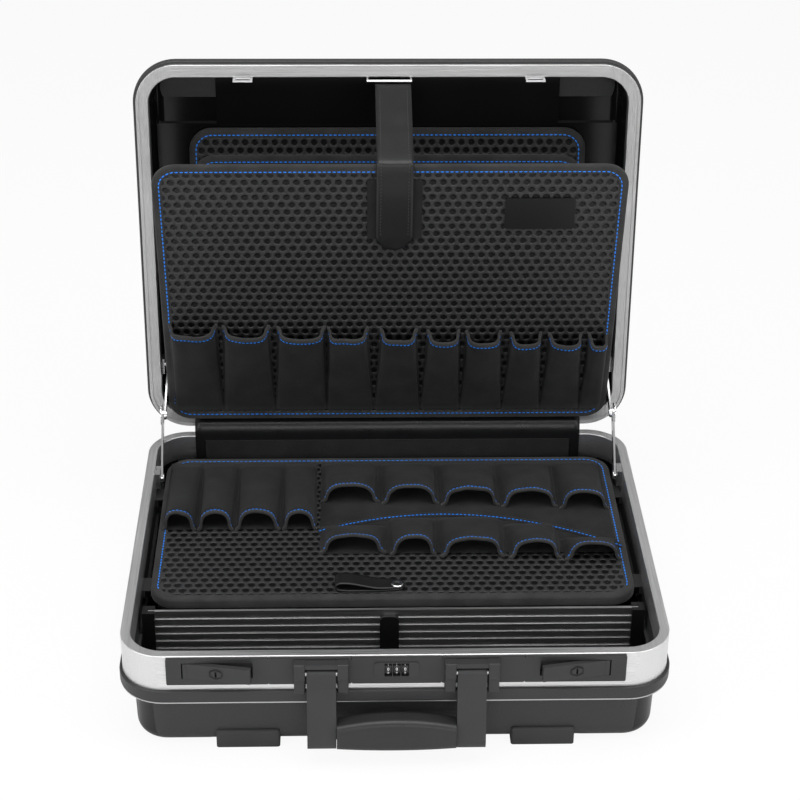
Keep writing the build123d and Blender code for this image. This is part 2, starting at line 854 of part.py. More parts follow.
def make_stay_upper(side):
    low = stay_upper_inner_x
    high = low + stay_bar_thickness
    lid_y, lid_z = lid_point(stay_lid_up, stay_lid_in)
    elbow_y, elbow_z = elbow_place()
    length = math.hypot(elbow_y - lid_y, elbow_z - lid_z)
    angle = math.degrees(math.atan2(elbow_z - lid_z, elbow_y - lid_y))
    bar = stay_bar(lid_y, lid_z, length, angle, low, high)
    bar += rod_x(stay_head_radius, low - stay_head_thickness, low, elbow_y, elbow_z)
    bar -= rod_x(stay_pin_radius + pin_clearance, low - 1, high + 1, lid_y, lid_z)
    return bar if side > 0 else mirror(bar, Plane.YZ)


def make_stay_brackets_base():
    brackets = []
    low = stay_lower_inner_x()
    half = stay_bracket_width / 2
    bracket = block(
        stay_bracket_face_x, base_opening_x, stay_base_y - half, stay_base_y + half,
        stay_base_z - half, stay_base_z + half,
    )
    bracket += rod_x(stay_pin_radius, low - stay_head_gap, stay_bracket_face_x, stay_base_y, stay_base_z)
    head_outer = low - stay_head_gap
    bracket += rod_x(
        stay_head_radius, head_outer - stay_head_thickness, head_outer, stay_base_y, stay_base_z
    )
    brackets.append(bracket)
    brackets.append(mirror(bracket, Plane.YZ))
    return brackets


def make_stay_brackets_lid():
    """Small plates on the side walls of the lid, each with the pin of its upper bar."""
    half = stay_bracket_width / 2
    y = hinge_y - stay_lid_up
    z = hinge_z + stay_lid_in
    plate = block(stay_bracket_face_x, lid_opening_x, y - half, y + half, z - half, z + half)
    bracket = plate & lid_hollow()
    low = stay_upper_inner_x
    bracket += rod_x(stay_pin_radius, low - stay_head_gap, stay_bracket_face_x, y, z)
    head_outer = low - stay_head_gap
    bracket += rod_x(stay_head_radius, head_outer - stay_head_thickness, head_outer, y, z)
    return [opened(bracket), opened(mirror(bracket, Plane.YZ))]


# ---- boards ----


def flat_board(width, height, thickness, corner, edge):
    """A padded board lying flat: its lower edge on y 0, its middle plane on z 0."""
    outline = Pos(0, height / 2) * RectangleRounded(width, height, corner)
    board = Pos(0, 0, -thickness / 2) * extrude(outline, thickness)
    flats = board.faces().sort_by(Axis.Z)
    return fillet(flats[0].edges() + flats[-1].edges(), edge)


def front_board_place():
    return lid_place(front_board_up, front_board_in, front_board_tilt)


def make_lid_board_front():
    half = lid_board_thickness / 2
    board = flat_board(
        lid_board_width, lid_board_height + half, lid_board_thickness, lid_board_corner, board_edge_radius
    )
    return front_board_place() * Pos(0, -half, 0) * board


def rail_top():
    """How far up the lid the ledge that carries the stored boards reaches."""
    return hinge_setback + body_inner + rail_height


def stored_board(width, top, into):
    bottom = rail_top() + board_rail_clearance
    board = flat_board(width, top - bottom, lid_board_thickness, lid_board_corner, board_edge_radius)
    return lid_place(bottom, into, 0) * board


def lid_hollow():
    """The space inside the moulded body of the closed lid."""
    height = lid_total_depth - lid_belt_high - shell_wall
    return Pos(0, 0, lid_belt_high) * pan_block(body_inner, height, corner_pad_reach - shell_wall)


def make_board_rail():
    """A ledge along the hinge side of the lid that the two stored boards stand on."""
    top_y = hinge_y - rail_top()
    back = lid_total_depth
    front = hinge_z + middle_board_in - lid_board_thickness / 2 - rail_overhang
    ledge = block(-rail_width / 2, rail_width / 2, top_y, case_depth, front, back)
    return opened(ledge & lid_hollow())


def make_board_flap():
    """The leather strip that carries the front board from the hinge side of the lid."""
    low = front_board_up - lid_board_thickness / 2 - flap_board_gap - flap_thickness
    strip = Pos(0, 0, flap_length / 2) * Box(flap_width, flap_thickness, flap_length)
    return lid_place(low + flap_thickness / 2, front_board_in + flap_length, 0) * strip


def make_base_board():
    depth = base_board_rear - base_board_front
    board = flat_board(base_board_width, depth, base_board_thickness, base_board_corner, base_board_edge)
    return Pos(0, base_board_front, base_board_top - base_board_thickness / 2) * board


# ---- pockets ----


def pocket(width, length):
    """One tapering loop of cloth on z 0: its mouth at y 0, sewn flat at y = length."""
    corner = min(0.62 * pocket_height, 0.45 * width)
    outer = Pos(0, pocket_height / 2) * Rectangle(width, pocket_height)
    outer = fillet(outer.vertices().sort_by(Axis.Y)[-2:], corner)
    inner_width = width - 2 * pocket_cloth
    inner = Pos(0, pocket_height / 2 - pocket_cloth) * Rectangle(inner_width, pocket_height)
    inner = fillet(inner.vertices().sort_by(Axis.Y)[-2:], corner - pocket_cloth)
    section = outer - inner
    loop = extrude(Plane.XZ * section, -length)
    slope = math.degrees(math.atan2(pocket_height - pocket_sewn_height, length))
    loop = Rot(-slope, 0, 0) * loop
    below = Pos(0, length / 2, -pocket_height) * Box(width + 10, 3 * length, 2 * pocket_height)
    return loop - below


def row_starts(first, widths, gap):
    """Left edges of a row of pockets with even gaps."""
    starts = []
    x = first
    for width in widths:
        starts.append(x)
        x += width + gap
    return starts


def lid_pocket_spans():
    """Left edge, width and mouth height of each pocket on the front lid board."""
    free = lid_board_width - 2 * lid_pocket_margin - sum(lid_pocket_widths)
    scale = free / sum(lid_pocket_gaps)
    x = -lid_board_width / 2 + lid_pocket_margin
    spans = []
    last = len(lid_pocket_widths) - 1
    for i, width in enumerate(lid_pocket_widths):
        share = i / last
        mouth = lid_pocket_mouth_left + (lid_pocket_mouth_right - lid_pocket_mouth_left) * share
        spans.append((x, width, mouth))
        if i < last:
            x += width + lid_pocket_gaps[i] * scale
    return spans


def make_lid_pockets(first, last):
    pockets = []
    place = front_board_place() * Pos(0, 0, lid_board_thickness / 2)
    for x, width, mouth in lid_pocket_spans()[first:last]:
        loop = pocket(width, mouth - lid_pocket_foot)
        pockets.append(place * Pos(x + width / 2, mouth, 0) * Rot(0, 0, 180) * loop)
    return pockets


def make_left_pockets():
    pockets = []
    starts = row_starts(left_pocket_start, left_pocket_widths, left_pocket_gap)
    for x, width in zip(starts, left_pocket_widths):
        loop = pocket(width, base_pocket_foot - left_pocket_mouth)
        pockets.append(Pos(x + width / 2, left_pocket_mouth, base_board_top) * loop)
    return pockets


def make_rear_pockets():
    pockets = []
    starts = row_starts(right_pockets_start, rear_pocket_widths, rear_pocket_gap)
    for i, (x, width) in enumerate(zip(starts, rear_pocket_widths)):
        mouth = rear_pocket_mouth - rear_pocket_fall * i / (len(rear_pocket_widths) - 1)
        loop = pocket(width, base_pocket_foot - mouth)
        pockets.append(Pos(x + width / 2, mouth, base_board_top) * loop)
    return pockets


def seam_ends():
    x_left = right_pockets_start
    x_right = right_pockets_start + sum(front_pocket_widths) + front_pocket_gap * 4
    return (x_left, x_right)


def seam_arc(shift=0.0):
    """The curved seam across the right of the board, moved along Y by the shift."""
    x_left, x_right = seam_ends()
    middle = (x_left + x_right) / 2
    return ThreePointArc(
        (x_left, seam_left_y + shift), (middle, seam_middle_y + shift), (x_right, seam_right_y + shift)
    )


def seam_y(x):
    """Where the curved seam crosses a given X."""
    probe = Line((x, 0), (x, case_depth))
    return seam_arc().distance_to_with_closest_points(probe)[1].Y


def behind_seam():
    """All that lies on the hinge side of the curved seam, above the board."""
    edge = seam_arc(-seam_half_width - seam_gap)
    x_left, x_right = seam_ends()
    start = edge @ 0
    end = edge @ 1
    back = Polyline((end.X, end.Y), (x_right + 30, end.Y), (x_right + 30, case_depth),
                    (x_left - 30, case_depth), (x_left - 30, start.Y), (start.X, start.Y))
    return Pos(0, 0, base_board_top - 1) * extrude(make_face([edge, back]), 2 * pocket_height)


def make_front_pockets():
    pockets = []
    starts = row_starts(right_pockets_start, front_pocket_widths, front_pocket_gap)
    cut = behind_seam()
    for i, (x, width) in enumerate(zip(starts, front_pocket_widths)):
        mouth = front_pocket_mouth - front_pocket_fall * i / (len(front_pocket_widths) - 1)
        foot = seam_y(x + width / 2) - seam_half_width - seam_gap
        loop = pocket(width, foot - mouth)
        pockets.append(Pos(x + width / 2, mouth, base_board_top) * loop - cut)
    return pockets


def make_seam_band():
    strip = trace(seam_arc(), 2 * seam_half_width)
    return Pos(0, 0, base_board_top) * extrude(strip, seam_thickness)


# ---- strap and small soft goods ----


def make_strap_ring():
    half = strap_ring_half_width
    y = lid_lip_width + strap_ring_wire
    low = lid_rim - strap_ring_drop
    high = lid_rim + lid_inner_wall_height
    ring = rod_x(strap_ring_wire, -half, half, y, low)
    for side in (-1, 1):
        ring += rod_z(strap_ring_wire, side * half, y, low, high)
        ring += Pos(side * half, y, low) * Sphere(strap_ring_wire)
    return opened(ring)


def strap_path():
    """The strap from its ring, over the top edge of the front board and down its face."""
    ring_up = hinge_y - (lid_lip_width + strap_ring_wire)
    ring_in = lid_rim - strap_ring_drop - hinge_z
    start = lid_point(ring_up - strap_ring_wire - strap_thickness, ring_in)
    tilt = math.radians(front_board_tilt - lid_lean_back)
    y0, z0 = lid_point(front_board_up, front_board_in)
    out = lid_board_thickness / 2 + patch_thickness + face_clearance + strap_thickness / 2

    def on_board(height, proud):
        y = y0 - height * math.sin(tilt) - proud * math.cos(tilt)
        z = z0 + height * math.cos(tilt) - proud * math.sin(tilt)
        return (y, z)

    return [start, on_board(lid_board_height + strap_over_edge, out), on_board(strap_end_height, out)]


def make_strap():
    low = strap_x - strap_width / 2
    return bent_sheet(strap_path(), 6.0, strap_thickness, low, low + strap_width)


def make_patch(width, height, x, middle, thickness):
    outline = Pos(x, middle) * RectangleRounded(width, height, 3.0)
    return front_board_place() * Pos(0, 0, lid_board_thickness / 2) * extrude(outline, thickness)


def make_pull_tab():
    half_height = pull_tab_height / 2
    outer = SlotOverall(pull_tab_length, pull_tab_height)
    inner = SlotOverall(
        pull_tab_length - 2 * pull_tab_leather, pull_tab_height - 2 * pull_tab_leather
    )
    start = pull_tab_length / 2 - half_height
    tail = Pos(start + pull_tab_tail / 2, -half_height + pull_tab_leather / 2) * Rectangle(
        pull_tab_tail, pull_tab_leather
    )
    section = Pos(pull_tab_x, base_board_top + half_height) * (outer - inner + tail)
    y_front = pull_tab_y - pull_tab_width / 2
    return extrude(Plane.XZ.offset(-y_front) * section, -pull_tab_width)


def make_snap():
    x = pull_tab_x + pull_tab_length / 2 - pull_tab_height / 2 + pull_tab_tail - snap_radius - 1.0
    low = base_board_top + pull_tab_leather
    ring = rod_z(snap_radius, x, pull_tab_y, low, low + snap_height)
    ring = fillet(ring.faces().sort_by(Axis.Z)[-1].edges(), 1.0)
    return ring - rod_z(snap_bore, x, pull_tab_y, low + 0.8, low + snap_height + 1)


# ---- hinge cover and divider ----


def make_hinge_cover():
    """A bent leather sheet from inside the lid, over both rims, down the inner wall of the base."""
    wall = case_depth - base_lip_width
    y_wall = wall - cover_wall_gap - cover_thickness / 2
    over = hinge_setback + body_inner + face_clearance + cover_thickness / 2
    back = lid_point(over, cover_back)
    front = lid_point(over, 0)
    corner = (y_wall, front[1])
    foot = (y_wall, cover_bottom)
    return bent_sheet(
        [back, corner, foot], cover_bend_radius, cover_thickness, -cover_half_width, cover_half_width
    )


def make_hook_strip():
    wall = case_depth - base_lip_width - cover_wall_gap - cover_thickness
    return block(-hook_half_width, hook_half_width, wall - hook_thickness, wall, hook_bottom, hook_top)


def body_inner_x(z):
    """Half width inside the drafted body at a level below the belt."""
    return case_width / 2 - body_inner - (base_belt_bottom - z) * math.tan(math.radians(body_draft))


def make_divider():
    half = body_inner_x(base_floor) - panel_edge_radius - divider_end_gap
    half_top = body_inner_x(base_belt_bottom) - divider_end_gap - 4.0
    y_low = divider_y
    wall = block(-half_top, half_top, y_low, y_low + divider_thickness, base_floor + panel_edge_radius, divider_top)
    wall += block(-half, half, y_low, y_low + divider_thickness, base_floor, base_floor + panel_edge_radius + 1)
    for i in range(divider_grooves):
        z = divider_top - divider_groove_height - 1.5 - i * divider_groove_pitch
        wall -= block(
            -half_top - 1, half_top + 1, y_low - 1, y_low + divider_groove_depth, z - divider_groove_height, z
        )
    return wall


def make_divider_clip():
    x_low = divider_clip_x - divider_clip_width / 2
    outline = RectangleRounded(divider_clip_width, divider_clip_top - base_floor, 5.0)
    z_middle = (divider_clip_top + base_floor) / 2
    clip = extrude(
        Plane.XZ.offset(-(divider_y - divider_clip_depth)) * Pos(divider_clip_x, z_middle) * outline,
        -divider_clip_depth,
    )
    foot = block(
        x_low, x_low + divider_clip_width, divider_y - divider_clip_depth, divider_y, base_floor, base_floor + 6
    )
    return clip + foot


def make_end_clips():
    """Channels on the side walls that hold the ends of the divider."""
    outer = body_inner_x(base_belt_bottom)
    end = outer - divider_end_gap - 4.0
    y_middle = divider_y + divider_thickness / 2
    top = divider_top + end_clip_above
    low = base_floor + panel_edge_radius
    clip = block(
        outer - end_clip_reach, outer, y_middle - end_clip_length / 2, y_middle + end_clip_length / 2, low, top
    )
    clip -= block(
        outer - end_clip_reach - 1, end + face_clearance, divider_y - face_clearance,
        divider_y + divider_thickness + face_clearance, low - 1, top + 1,
    )
    inside = slab(base_lip_width, base_belt_bottom + shelf_thickness, 0)
    inside += Pos(0, 0, base_belt_bottom + shelf_thickness) * mirror(
        pan_block(body_inner, base_total_depth - 44.0 - shell_wall, corner_pad_reach - shell_wall), Plane.XY
    )
    clip = clip & inside
    return [clip, mirror(clip, Plane.YZ)]


# ---- the nodes ----

parts = {
    "base_shell": make_base_shell(),
    "base_frame": make_base_frame(),
    "base_feet": make_feet(),
    "base_hinge_leaves": make_base_leaves(),
    "hinge_pins": make_hinge_pins(),
    "latch_housing_left": make_latch_housing(-1),
    "latch_housing_right": make_latch_housing(1),
    "latch_pins": make_latch_pins(),
    "lock_case_left": make_lock_case(-1),
    "lock_case_right": make_lock_case(1),
    "combination_housing": make_combination_housing(),
    "dial_axle": make_dial_axle(),
    "handle_bracket_left": make_handle_bracket(-1),
    "handle_bracket_right": make_handle_bracket(1),
    "handle_pins": make_handle_pins(),
    "stay_brackets_base": make_stay_brackets_base(),
    "divider_wall": make_divider(),
    "divider_clip": make_divider_clip(),
    "divider_end_clips": make_end_clips(),
    "hinge_cover": make_hinge_cover(),
    "hook_strip": make_hook_strip(),
    "latch_lever_left": make_latch_lever(-1),
    "latch_lever_right": make_latch_lever(1),
    "key_cylinder_left": make_key_cylinder(-1),
    "key_cylinder_right": make_key_cylinder(1),
    "handle_frame": make_handle_frame(),
    "handle_grip": make_handle_grip(),
    "base_board": make_base_board(),
    "base_pockets_left": make_left_pockets(),
    "base_pockets_rear": make_rear_pockets(),
    "base_pockets_front": make_front_pockets(),
    "base_seam_band": make_seam_band(),
    "pull_tab": make_pull_tab(),
    "pull_tab_snap": make_snap(),
    "lid_shell": make_lid_shell(),
    "lid_frame": make_lid_frame(),
    "lid_hinge_leaves": make_lid_leaves(),
    "lid_strikers": make_strikers(),
    "strap_ring": make_strap_ring(),
    "lid_board_rail": make_board_rail(),
    "lid_board_flap": make_board_flap(),
    "lid_board_rear": stored_board(rear_board_width, rear_board_top, rear_board_in),
    "lid_board_middle": stored_board(middle_board_width, middle_board_top, middle_board_in),
    "stay_brackets_lid": make_stay_brackets_lid(),
    "stay_lower_left": make_stay_lower(-1),
    "stay_lower_right": make_stay_lower(1),
    "stay_upper_left": make_stay_upper(-1),
    "stay_upper_right": make_stay_upper(1),
    "lid_board_front": make_lid_board_front(),
    "lid_pockets_left": make_lid_pockets(0, 5),
    "lid_pockets_right": make_lid_pockets(5, 10),
    "strap": make_strap(),
    "strap_patch": make_patch(patch_width, patch_height, patch_x, patch_middle, patch_thickness),
    "label_patch": make_patch(label_width, label_height, label_x, label_middle, label_thickness),
}
for index in range(dial_count):
    parts["dial_%d" % (index + 1)] = make_dial(index)

# The part stands on its feet, with its origin under the middle of the box that it fills.
lid_back_y = lid_point(hinge_y, lid_total_depth - hinge_z)[0]
handle_front_y = arm_end_y - grip_depth / 2
origin_y = (lid_back_y + handle_front_y) / 2
to_origin = Pos(0, -origin_y, -floor_level)

os.makedirs("parts", exist_ok=True)
for name, shape in parts.items():
    solids = shape if isinstance(shape, list) else [shape]
    placed = [to_origin * solid for solid in solids]
    export_step(placed[0] if len(placed) == 1 else Compound(children=placed), "parts/%s.step" % name)

print("origin_y", round(origin_y, 3), "floor_level", round(floor_level, 3))
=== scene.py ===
# %% [markdown]
# # A hard tool case, standing open
# The case is a deep base and a shallow lid of black moulded plastic, each with a bright metal rim. The
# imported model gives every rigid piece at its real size. This file dresses it: it finds the places it needs
# in that model, gives each surface its finish, and models the soft goods, which are sewn boards, pockets
# and straps.

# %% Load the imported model
import json
import math
import bmesh
import bpy
from mathutils import Matrix, Vector, noise


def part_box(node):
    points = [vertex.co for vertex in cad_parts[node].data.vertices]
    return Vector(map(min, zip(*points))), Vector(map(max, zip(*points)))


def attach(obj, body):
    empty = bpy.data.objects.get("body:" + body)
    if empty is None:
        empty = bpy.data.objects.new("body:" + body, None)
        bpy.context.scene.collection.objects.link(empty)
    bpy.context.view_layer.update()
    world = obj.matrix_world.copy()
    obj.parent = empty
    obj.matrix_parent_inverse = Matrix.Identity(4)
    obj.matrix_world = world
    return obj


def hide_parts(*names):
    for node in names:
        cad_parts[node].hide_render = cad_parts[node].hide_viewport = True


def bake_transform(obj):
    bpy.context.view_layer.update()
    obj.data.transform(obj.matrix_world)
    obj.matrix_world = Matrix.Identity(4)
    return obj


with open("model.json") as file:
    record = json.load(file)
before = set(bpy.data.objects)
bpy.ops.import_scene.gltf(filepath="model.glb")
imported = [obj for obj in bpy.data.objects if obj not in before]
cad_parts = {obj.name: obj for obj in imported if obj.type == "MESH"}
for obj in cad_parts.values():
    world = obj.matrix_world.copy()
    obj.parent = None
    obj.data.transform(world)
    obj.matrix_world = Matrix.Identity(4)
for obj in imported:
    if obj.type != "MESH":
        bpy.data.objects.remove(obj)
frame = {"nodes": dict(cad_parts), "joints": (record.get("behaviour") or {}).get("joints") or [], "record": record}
nodes = frame["nodes"]
joints = {joint["name"]: joint for joint in frame["joints"]}
openings = {item["name"]: item["box_m"] for item in frame["record"]["physics"]["openings"]}
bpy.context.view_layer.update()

# %% [markdown]
# Places are easiest to think of from the rim of the base: across the case, back from the handle side, and
# up from the rim. `at` turns such a place, in millimetres, into the frame's metres. The lid is easier to
# think of from its hinge: up the lid, and into its depth. The open lid leans back a little, so its places
# turn with it.

# %% Places on the base and on the lid
MM = 0.001
front_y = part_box("base_frame")[0].y
rim_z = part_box("base_frame")[1].z
hinge = Vector(joints["lid_hinge"]["pos_m"])
lid_travel = -joints["lid_hinge"]["range_deg"][0]
lid_lean = math.radians(lid_travel - 90.0)


def at(x, y, z):
    return Vector((x * MM, front_y + y * MM, rim_z + z * MM))


def on_lid(x, up, into):
    y = up * math.sin(lid_lean) + into * math.cos(lid_lean)
    z = up * math.cos(lid_lean) - into * math.sin(lid_lean)
    return hinge + Vector((x, y, z)) * MM


def upright(origin, tilt):
    """Places a flat drawing (x across, y up, z towards the user) on the lid, tilted forward."""
    return Matrix.Translation(origin) @ Matrix.Rotation(math.radians(90) - lid_lean + tilt, 4, "X")


front_board_tilt = math.radians(joints["lid_board_front_fold"]["range_deg"][1])
front_board_place = upright(Vector(joints["lid_board_front_fold"]["pos_m"]), front_board_tilt)
middle_board_place = upright(Vector(joints["lid_board_middle_tilt"]["pos_m"]), 0)
print("front board leans forward", round(math.degrees(front_board_tilt), 1), "degrees")

# %% [markdown]
# The camera stands in front of the case, a little to its left, and looks down at it. Its place and angles
# were worked out by matching the corners of both rims. A long lens keeps the sides of the case nearly
# parallel.

# %% Camera
camera_place = at(-41.6, -1353.6, 1020.9)
look_down = math.radians(29.764)
look_right = math.radians(1.783)
camera_roll = math.radians(0.578)

level = Vector((math.sin(look_right), math.cos(look_right), 0))
right = Vector((math.cos(look_right), -math.sin(look_right), 0))
forward = level * math.cos(look_down) - Vector((0, 0, math.sin(look_down)))
up = level * math.sin(look_down) + Vector((0, 0, math.cos(look_down)))
camera_right = right * math.cos(camera_roll) + up * math.sin(camera_roll)
camera_up = up * math.cos(camera_roll) - right * math.sin(camera_roll)

camera = bpy.data.objects.new("camera", bpy.data.cameras.new("camera"))
camera.data.lens = 90.2
camera.data.sensor_width = 36.0
camera.data.clip_end = 30.0
turn = Matrix((camera_right, camera_up, -forward)).transposed().to_4x4()
camera.matrix_world = Matrix.Translation(camera_place) @ turn
bpy.context.scene.collection.objects.link(camera)
bpy.context.scene.camera = camera
print("camera at", [round(v, 3) for v in camera.matrix_world.translation])

# %% [markdown]
# Black plastic and bright metal are both told by what they mirror, so the studio matters as much as the
# finishes. Large soft lamps above and beside the case make long, gentle highlights, and the world is white
# to the camera and to reflections, but dim as a light, so the black stays black.

# %% Studio
scene = bpy.context.scene
scene.view_settings.view_transform = "Standard"


def add_lamp(name, place, target, size, power):
    lamp = bpy.data.lights.new(name, "AREA")
    lamp.shape = "RECTANGLE"
    lamp.size, lamp.size_y = size
    lamp.energy = power
    obj = bpy.data.objects.new(name, lamp)
    direction = Vector(target) - Vector(place)
    aim = direction.to_track_quat("-Z", "Y").to_matrix().to_4x4()
    obj.matrix_world = Matrix.Translation(Vector(place)) @ aim
    scene.collection.objects.link(obj)


def background(strength):
    node = tree.nodes.new("ShaderNodeBackground")
    node.inputs["Color"].default_value = (1, 1, 1, 1)
    node.inputs["Strength"].default_value = strength
    return node.outputs[0]


def mix_of(share, first, second):
    """One shader where the share is 0, the other where it is 1."""
    node = tree.nodes.new("ShaderNodeMixShader")
    for socket, value in zip(node.inputs, (share, first, second)):
        tree.links.new(value, socket)
    return node.outputs[0]


add_lamp("lamp_above", (0.0, -0.35, 1.9), (0, 0.05, 0.15), (1.9, 1.2), 30)
add_lamp("lamp_left", (-1.7, -1.1, 1.1), (0, 0, 0.15), (1.0, 1.4), 17)
add_lamp("lamp_right", (1.7, -0.9, 1.2), (0, 0, 0.15), (1.0, 1.4), 14)
add_lamp("lamp_front", (0.1, -2.3, 0.9), (0, 0, 0.12), (1.8, 0.8), 12)

world = bpy.data.worlds.new("studio_world")
scene.world = world
world.use_nodes = True
tree = world.node_tree
tree.nodes.clear()
path = tree.nodes.new("ShaderNodeLightPath")
seen = tree.nodes.new("ShaderNodeMath")
seen.operation = "MAXIMUM"
tree.links.new(path.outputs["Is Camera Ray"], seen.inputs[0])
tree.links.new(path.outputs["Is Transmission Ray"], seen.inputs[1])
as_light = mix_of(path.outputs["Is Glossy Ray"], background(0.2), background(0.4))
world_out = tree.nodes.new("ShaderNodeOutputWorld")
tree.links.new(mix_of(seen.outputs[0], as_light, background(1.0)), world_out.inputs["Surface"])

# %% [markdown]
# The floor is one wide pale plane. Part of its colour is a glow that only the camera sees, which brings it
# up to white while the rest still darkens under the case, so the case stands on something.

# %% Floor
floor_bm = bmesh.new()
bmesh.ops.create_grid(floor_bm, x_segments=1, y_segments=1, size=6.0)
floor_mesh = bpy.data.meshes.new("floor")
floor_bm.to_mesh(floor_mesh)
floor_bm.free()
floor = bpy.data.objects.new("floor", floor_mesh)
scene.collection.objects.link(floor)
floor_paint = bpy.data.materials.new("floor_paint")
floor_paint.use_nodes = True
tree = floor_paint.node_tree
tree.nodes.clear()
path = tree.nodes.new("ShaderNodeLightPath")
share = tree.nodes.new("ShaderNodeMath")
share.operation = "MULTIPLY"
share.inputs[1].default_value = 0.92
tree.links.new(path.outputs["Is Camera Ray"], share.inputs[0])
diffuse = tree.nodes.new("ShaderNodeBsdfDiffuse")
diffuse.inputs["Color"].default_value = (0.86, 0.86, 0.86, 1)
glow = tree.nodes.new("ShaderNodeEmission")
glow.inputs["Color"].default_value = (1, 1, 1, 1)
glow.inputs["Strength"].default_value = 1.0
out = tree.nodes.new("ShaderNodeOutputMaterial")
painted = mix_of(share.outputs[0], diffuse.outputs[0], glow.outputs[0])
tree.links.new(painted, out.inputs["Surface"])
floor_mesh.materials.append(floor_paint)

# %% [markdown]
# ## Finishes
# Every finish starts as one Principled shader. What is the same all over is set on the shader itself. What
# varies, such as grain or brush lines, comes from noise read in the object's own coordinates, so that it
# stays put when the case moves.

# %% Helpers for finishes
def start_finish(name, color, roughness, metallic=0.0):
    """A material with its shader set, and the tree to add to."""
    material = bpy.data.materials.new(name)
    material.use_nodes = True
    tree = material.node_tree
    shader = tree.nodes["Principled BSDF"]
    shader.inputs["Base Color"].default_value = (*color, 1)
    shader.inputs["Roughness"].default_value = roughness
    shader.inputs["Metallic"].default_value = metallic
    shader.inputs["Specular IOR Level"].default_value = 0.5 if metallic else 0.35
    return material, tree, shader


def place_input(tree, scale=(1, 1, 1), rotation=(0, 0, 0)):
    """The object's own coordinates, scaled and turned."""
    coordinates = tree.nodes.new("ShaderNodeTexCoord")
    mapping = tree.nodes.new("ShaderNodeMapping")
    mapping.inputs["Scale"].default_value = scale
    mapping.inputs["Rotation"].default_value = rotation
    tree.links.new(coordinates.outputs["Object"], mapping.inputs["Vector"])
    return mapping.outputs["Vector"]


def noise_of(tree, vector, scale, detail=2.0):
    texture = tree.nodes.new("ShaderNodeTexNoise")
    texture.inputs["Scale"].default_value = scale
    texture.inputs["Detail"].default_value = detail
    tree.links.new(vector, texture.inputs["Vector"])
    return texture.outputs["Fac"]


def spread(tree, value, low, high):
    """Stretches a value between 0 and 1 to run from low to high."""
    node = tree.nodes.new("ShaderNodeMapRange")
    node.inputs["To Min"].default_value = low
    node.inputs["To Max"].default_value = high
    tree.links.new(value, node.inputs["Value"])
    return node.outputs["Result"]


def sum_of(tree, first, second, operation="ADD"):
    node = tree.nodes.new("ShaderNodeMath")
    node.operation = operation
    for socket, value in ((node.inputs[0], first), (node.inputs[1], second)):
        if isinstance(value, (int, float)):
            socket.default_value = value
        else:
            tree.links.new(value, socket)
    return node.outputs[0]


def add_bump(tree, shader, height, strength, distance):
    bump = tree.nodes.new("ShaderNodeBump")
    bump.inputs["Strength"].default_value = strength
    bump.inputs["Distance"].default_value = distance
    tree.links.new(height, bump.inputs["Height"])
    tree.links.new(bump.outputs["Normal"], shader.inputs["Normal"])


def tint(tree, shader, value, dark, light):
    """Colours the surface between two colours by a value."""
    ramp = tree.nodes.new("ShaderNodeMix")
    ramp.data_type = "RGBA"
    ramp.inputs["A"].default_value = (*dark, 1)
    ramp.inputs["B"].default_value = (*light, 1)
    tree.links.new(value, ramp.inputs["Factor"])
    tree.links.new(ramp.outputs["Result"], shader.inputs["Base Color"])


# %% [markdown]
# The rim bands are drawn aluminium: fine lines run along the band, all the way round. A noise stretched a
# hundredfold along one axis makes such lines. On the two long runs they follow X, and on the sides they
# follow the other direction of the rim, so two noises are mixed by how far out the surface lies.

# %% Drawn aluminium
def drawn_metal(name, side_scale, side_start, tone=0.72):
    material, tree, shader = start_finish(name, (tone, tone, tone), 0.3, 1.0)
    shader.inputs["Anisotropic"].default_value = 0.35
    along = noise_of(tree, place_input(tree, (14, 1300, 1300)), 1.0, 3.0)
    beside = noise_of(tree, place_input(tree, side_scale), 1.0, 3.0)
    split = tree.nodes.new("ShaderNodeSeparateXYZ")
    tree.links.new(place_input(tree), split.inputs[0])
    out_x = sum_of(tree, split.outputs["X"], 0.0, "ABSOLUTE")
    is_side = sum_of(tree, out_x, side_start, "GREATER_THAN")
    lines = tree.nodes.new("ShaderNodeMix")
    tree.links.new(is_side, lines.inputs["Factor"])
    tree.links.new(along, lines.inputs["A"])
    tree.links.new(beside, lines.inputs["B"])
    value = lines.outputs["Result"]
    tint(tree, shader, value, (tone * 0.72,) * 3, (min(1.0, tone * 1.22),) * 3)
    tree.links.new(spread(tree, value, 0.26, 0.5), shader.inputs["Roughness"])
    add_bump(tree, shader, value, 0.6, 0.0003)
    return material


base_band_metal = drawn_metal("base_band_metal", (1300, 14, 1300), 0.205)
# The lid's band is the same aluminium with a darker tone: painted shade for its upright face, which looks greyer.
lid_band_metal = drawn_metal("lid_band_metal", (1300, 1300, 14), 0.205, 0.52)
divider_metal = drawn_metal("divider_metal", (14, 1300, 1300), 0.5, 0.6)

# %% [markdown]
# The shells are black plastic. Outside they carry a fine moulded weave that takes the shine off, and inside
# they are smooth and glossy. One material does both: a box in the object's coordinates tells inside from
# outside, and it drives the roughness and the height of the grain. It also paints the inside far darker than
# the outside, as painted shade in the hollow of the shell.

# %% Moulded plastic with a smooth inside
def inside_box(tree, low, high):
    """1 where a surface lies inside a box given in metres, 0 elsewhere."""
    split = tree.nodes.new("ShaderNodeSeparateXYZ")
    tree.links.new(place_input(tree), split.inputs[0])
    result = None
    for axis, start, end in zip("XYZ", low, high):
        after = sum_of(tree, split.outputs[axis], start, "GREATER_THAN")
        before = sum_of(tree, split.outputs[axis], end, "LESS_THAN")
        both = sum_of(tree, after, before, "MULTIPLY")
        result = both if result is None else sum_of(tree, result, both, "MULTIPLY")
    return result


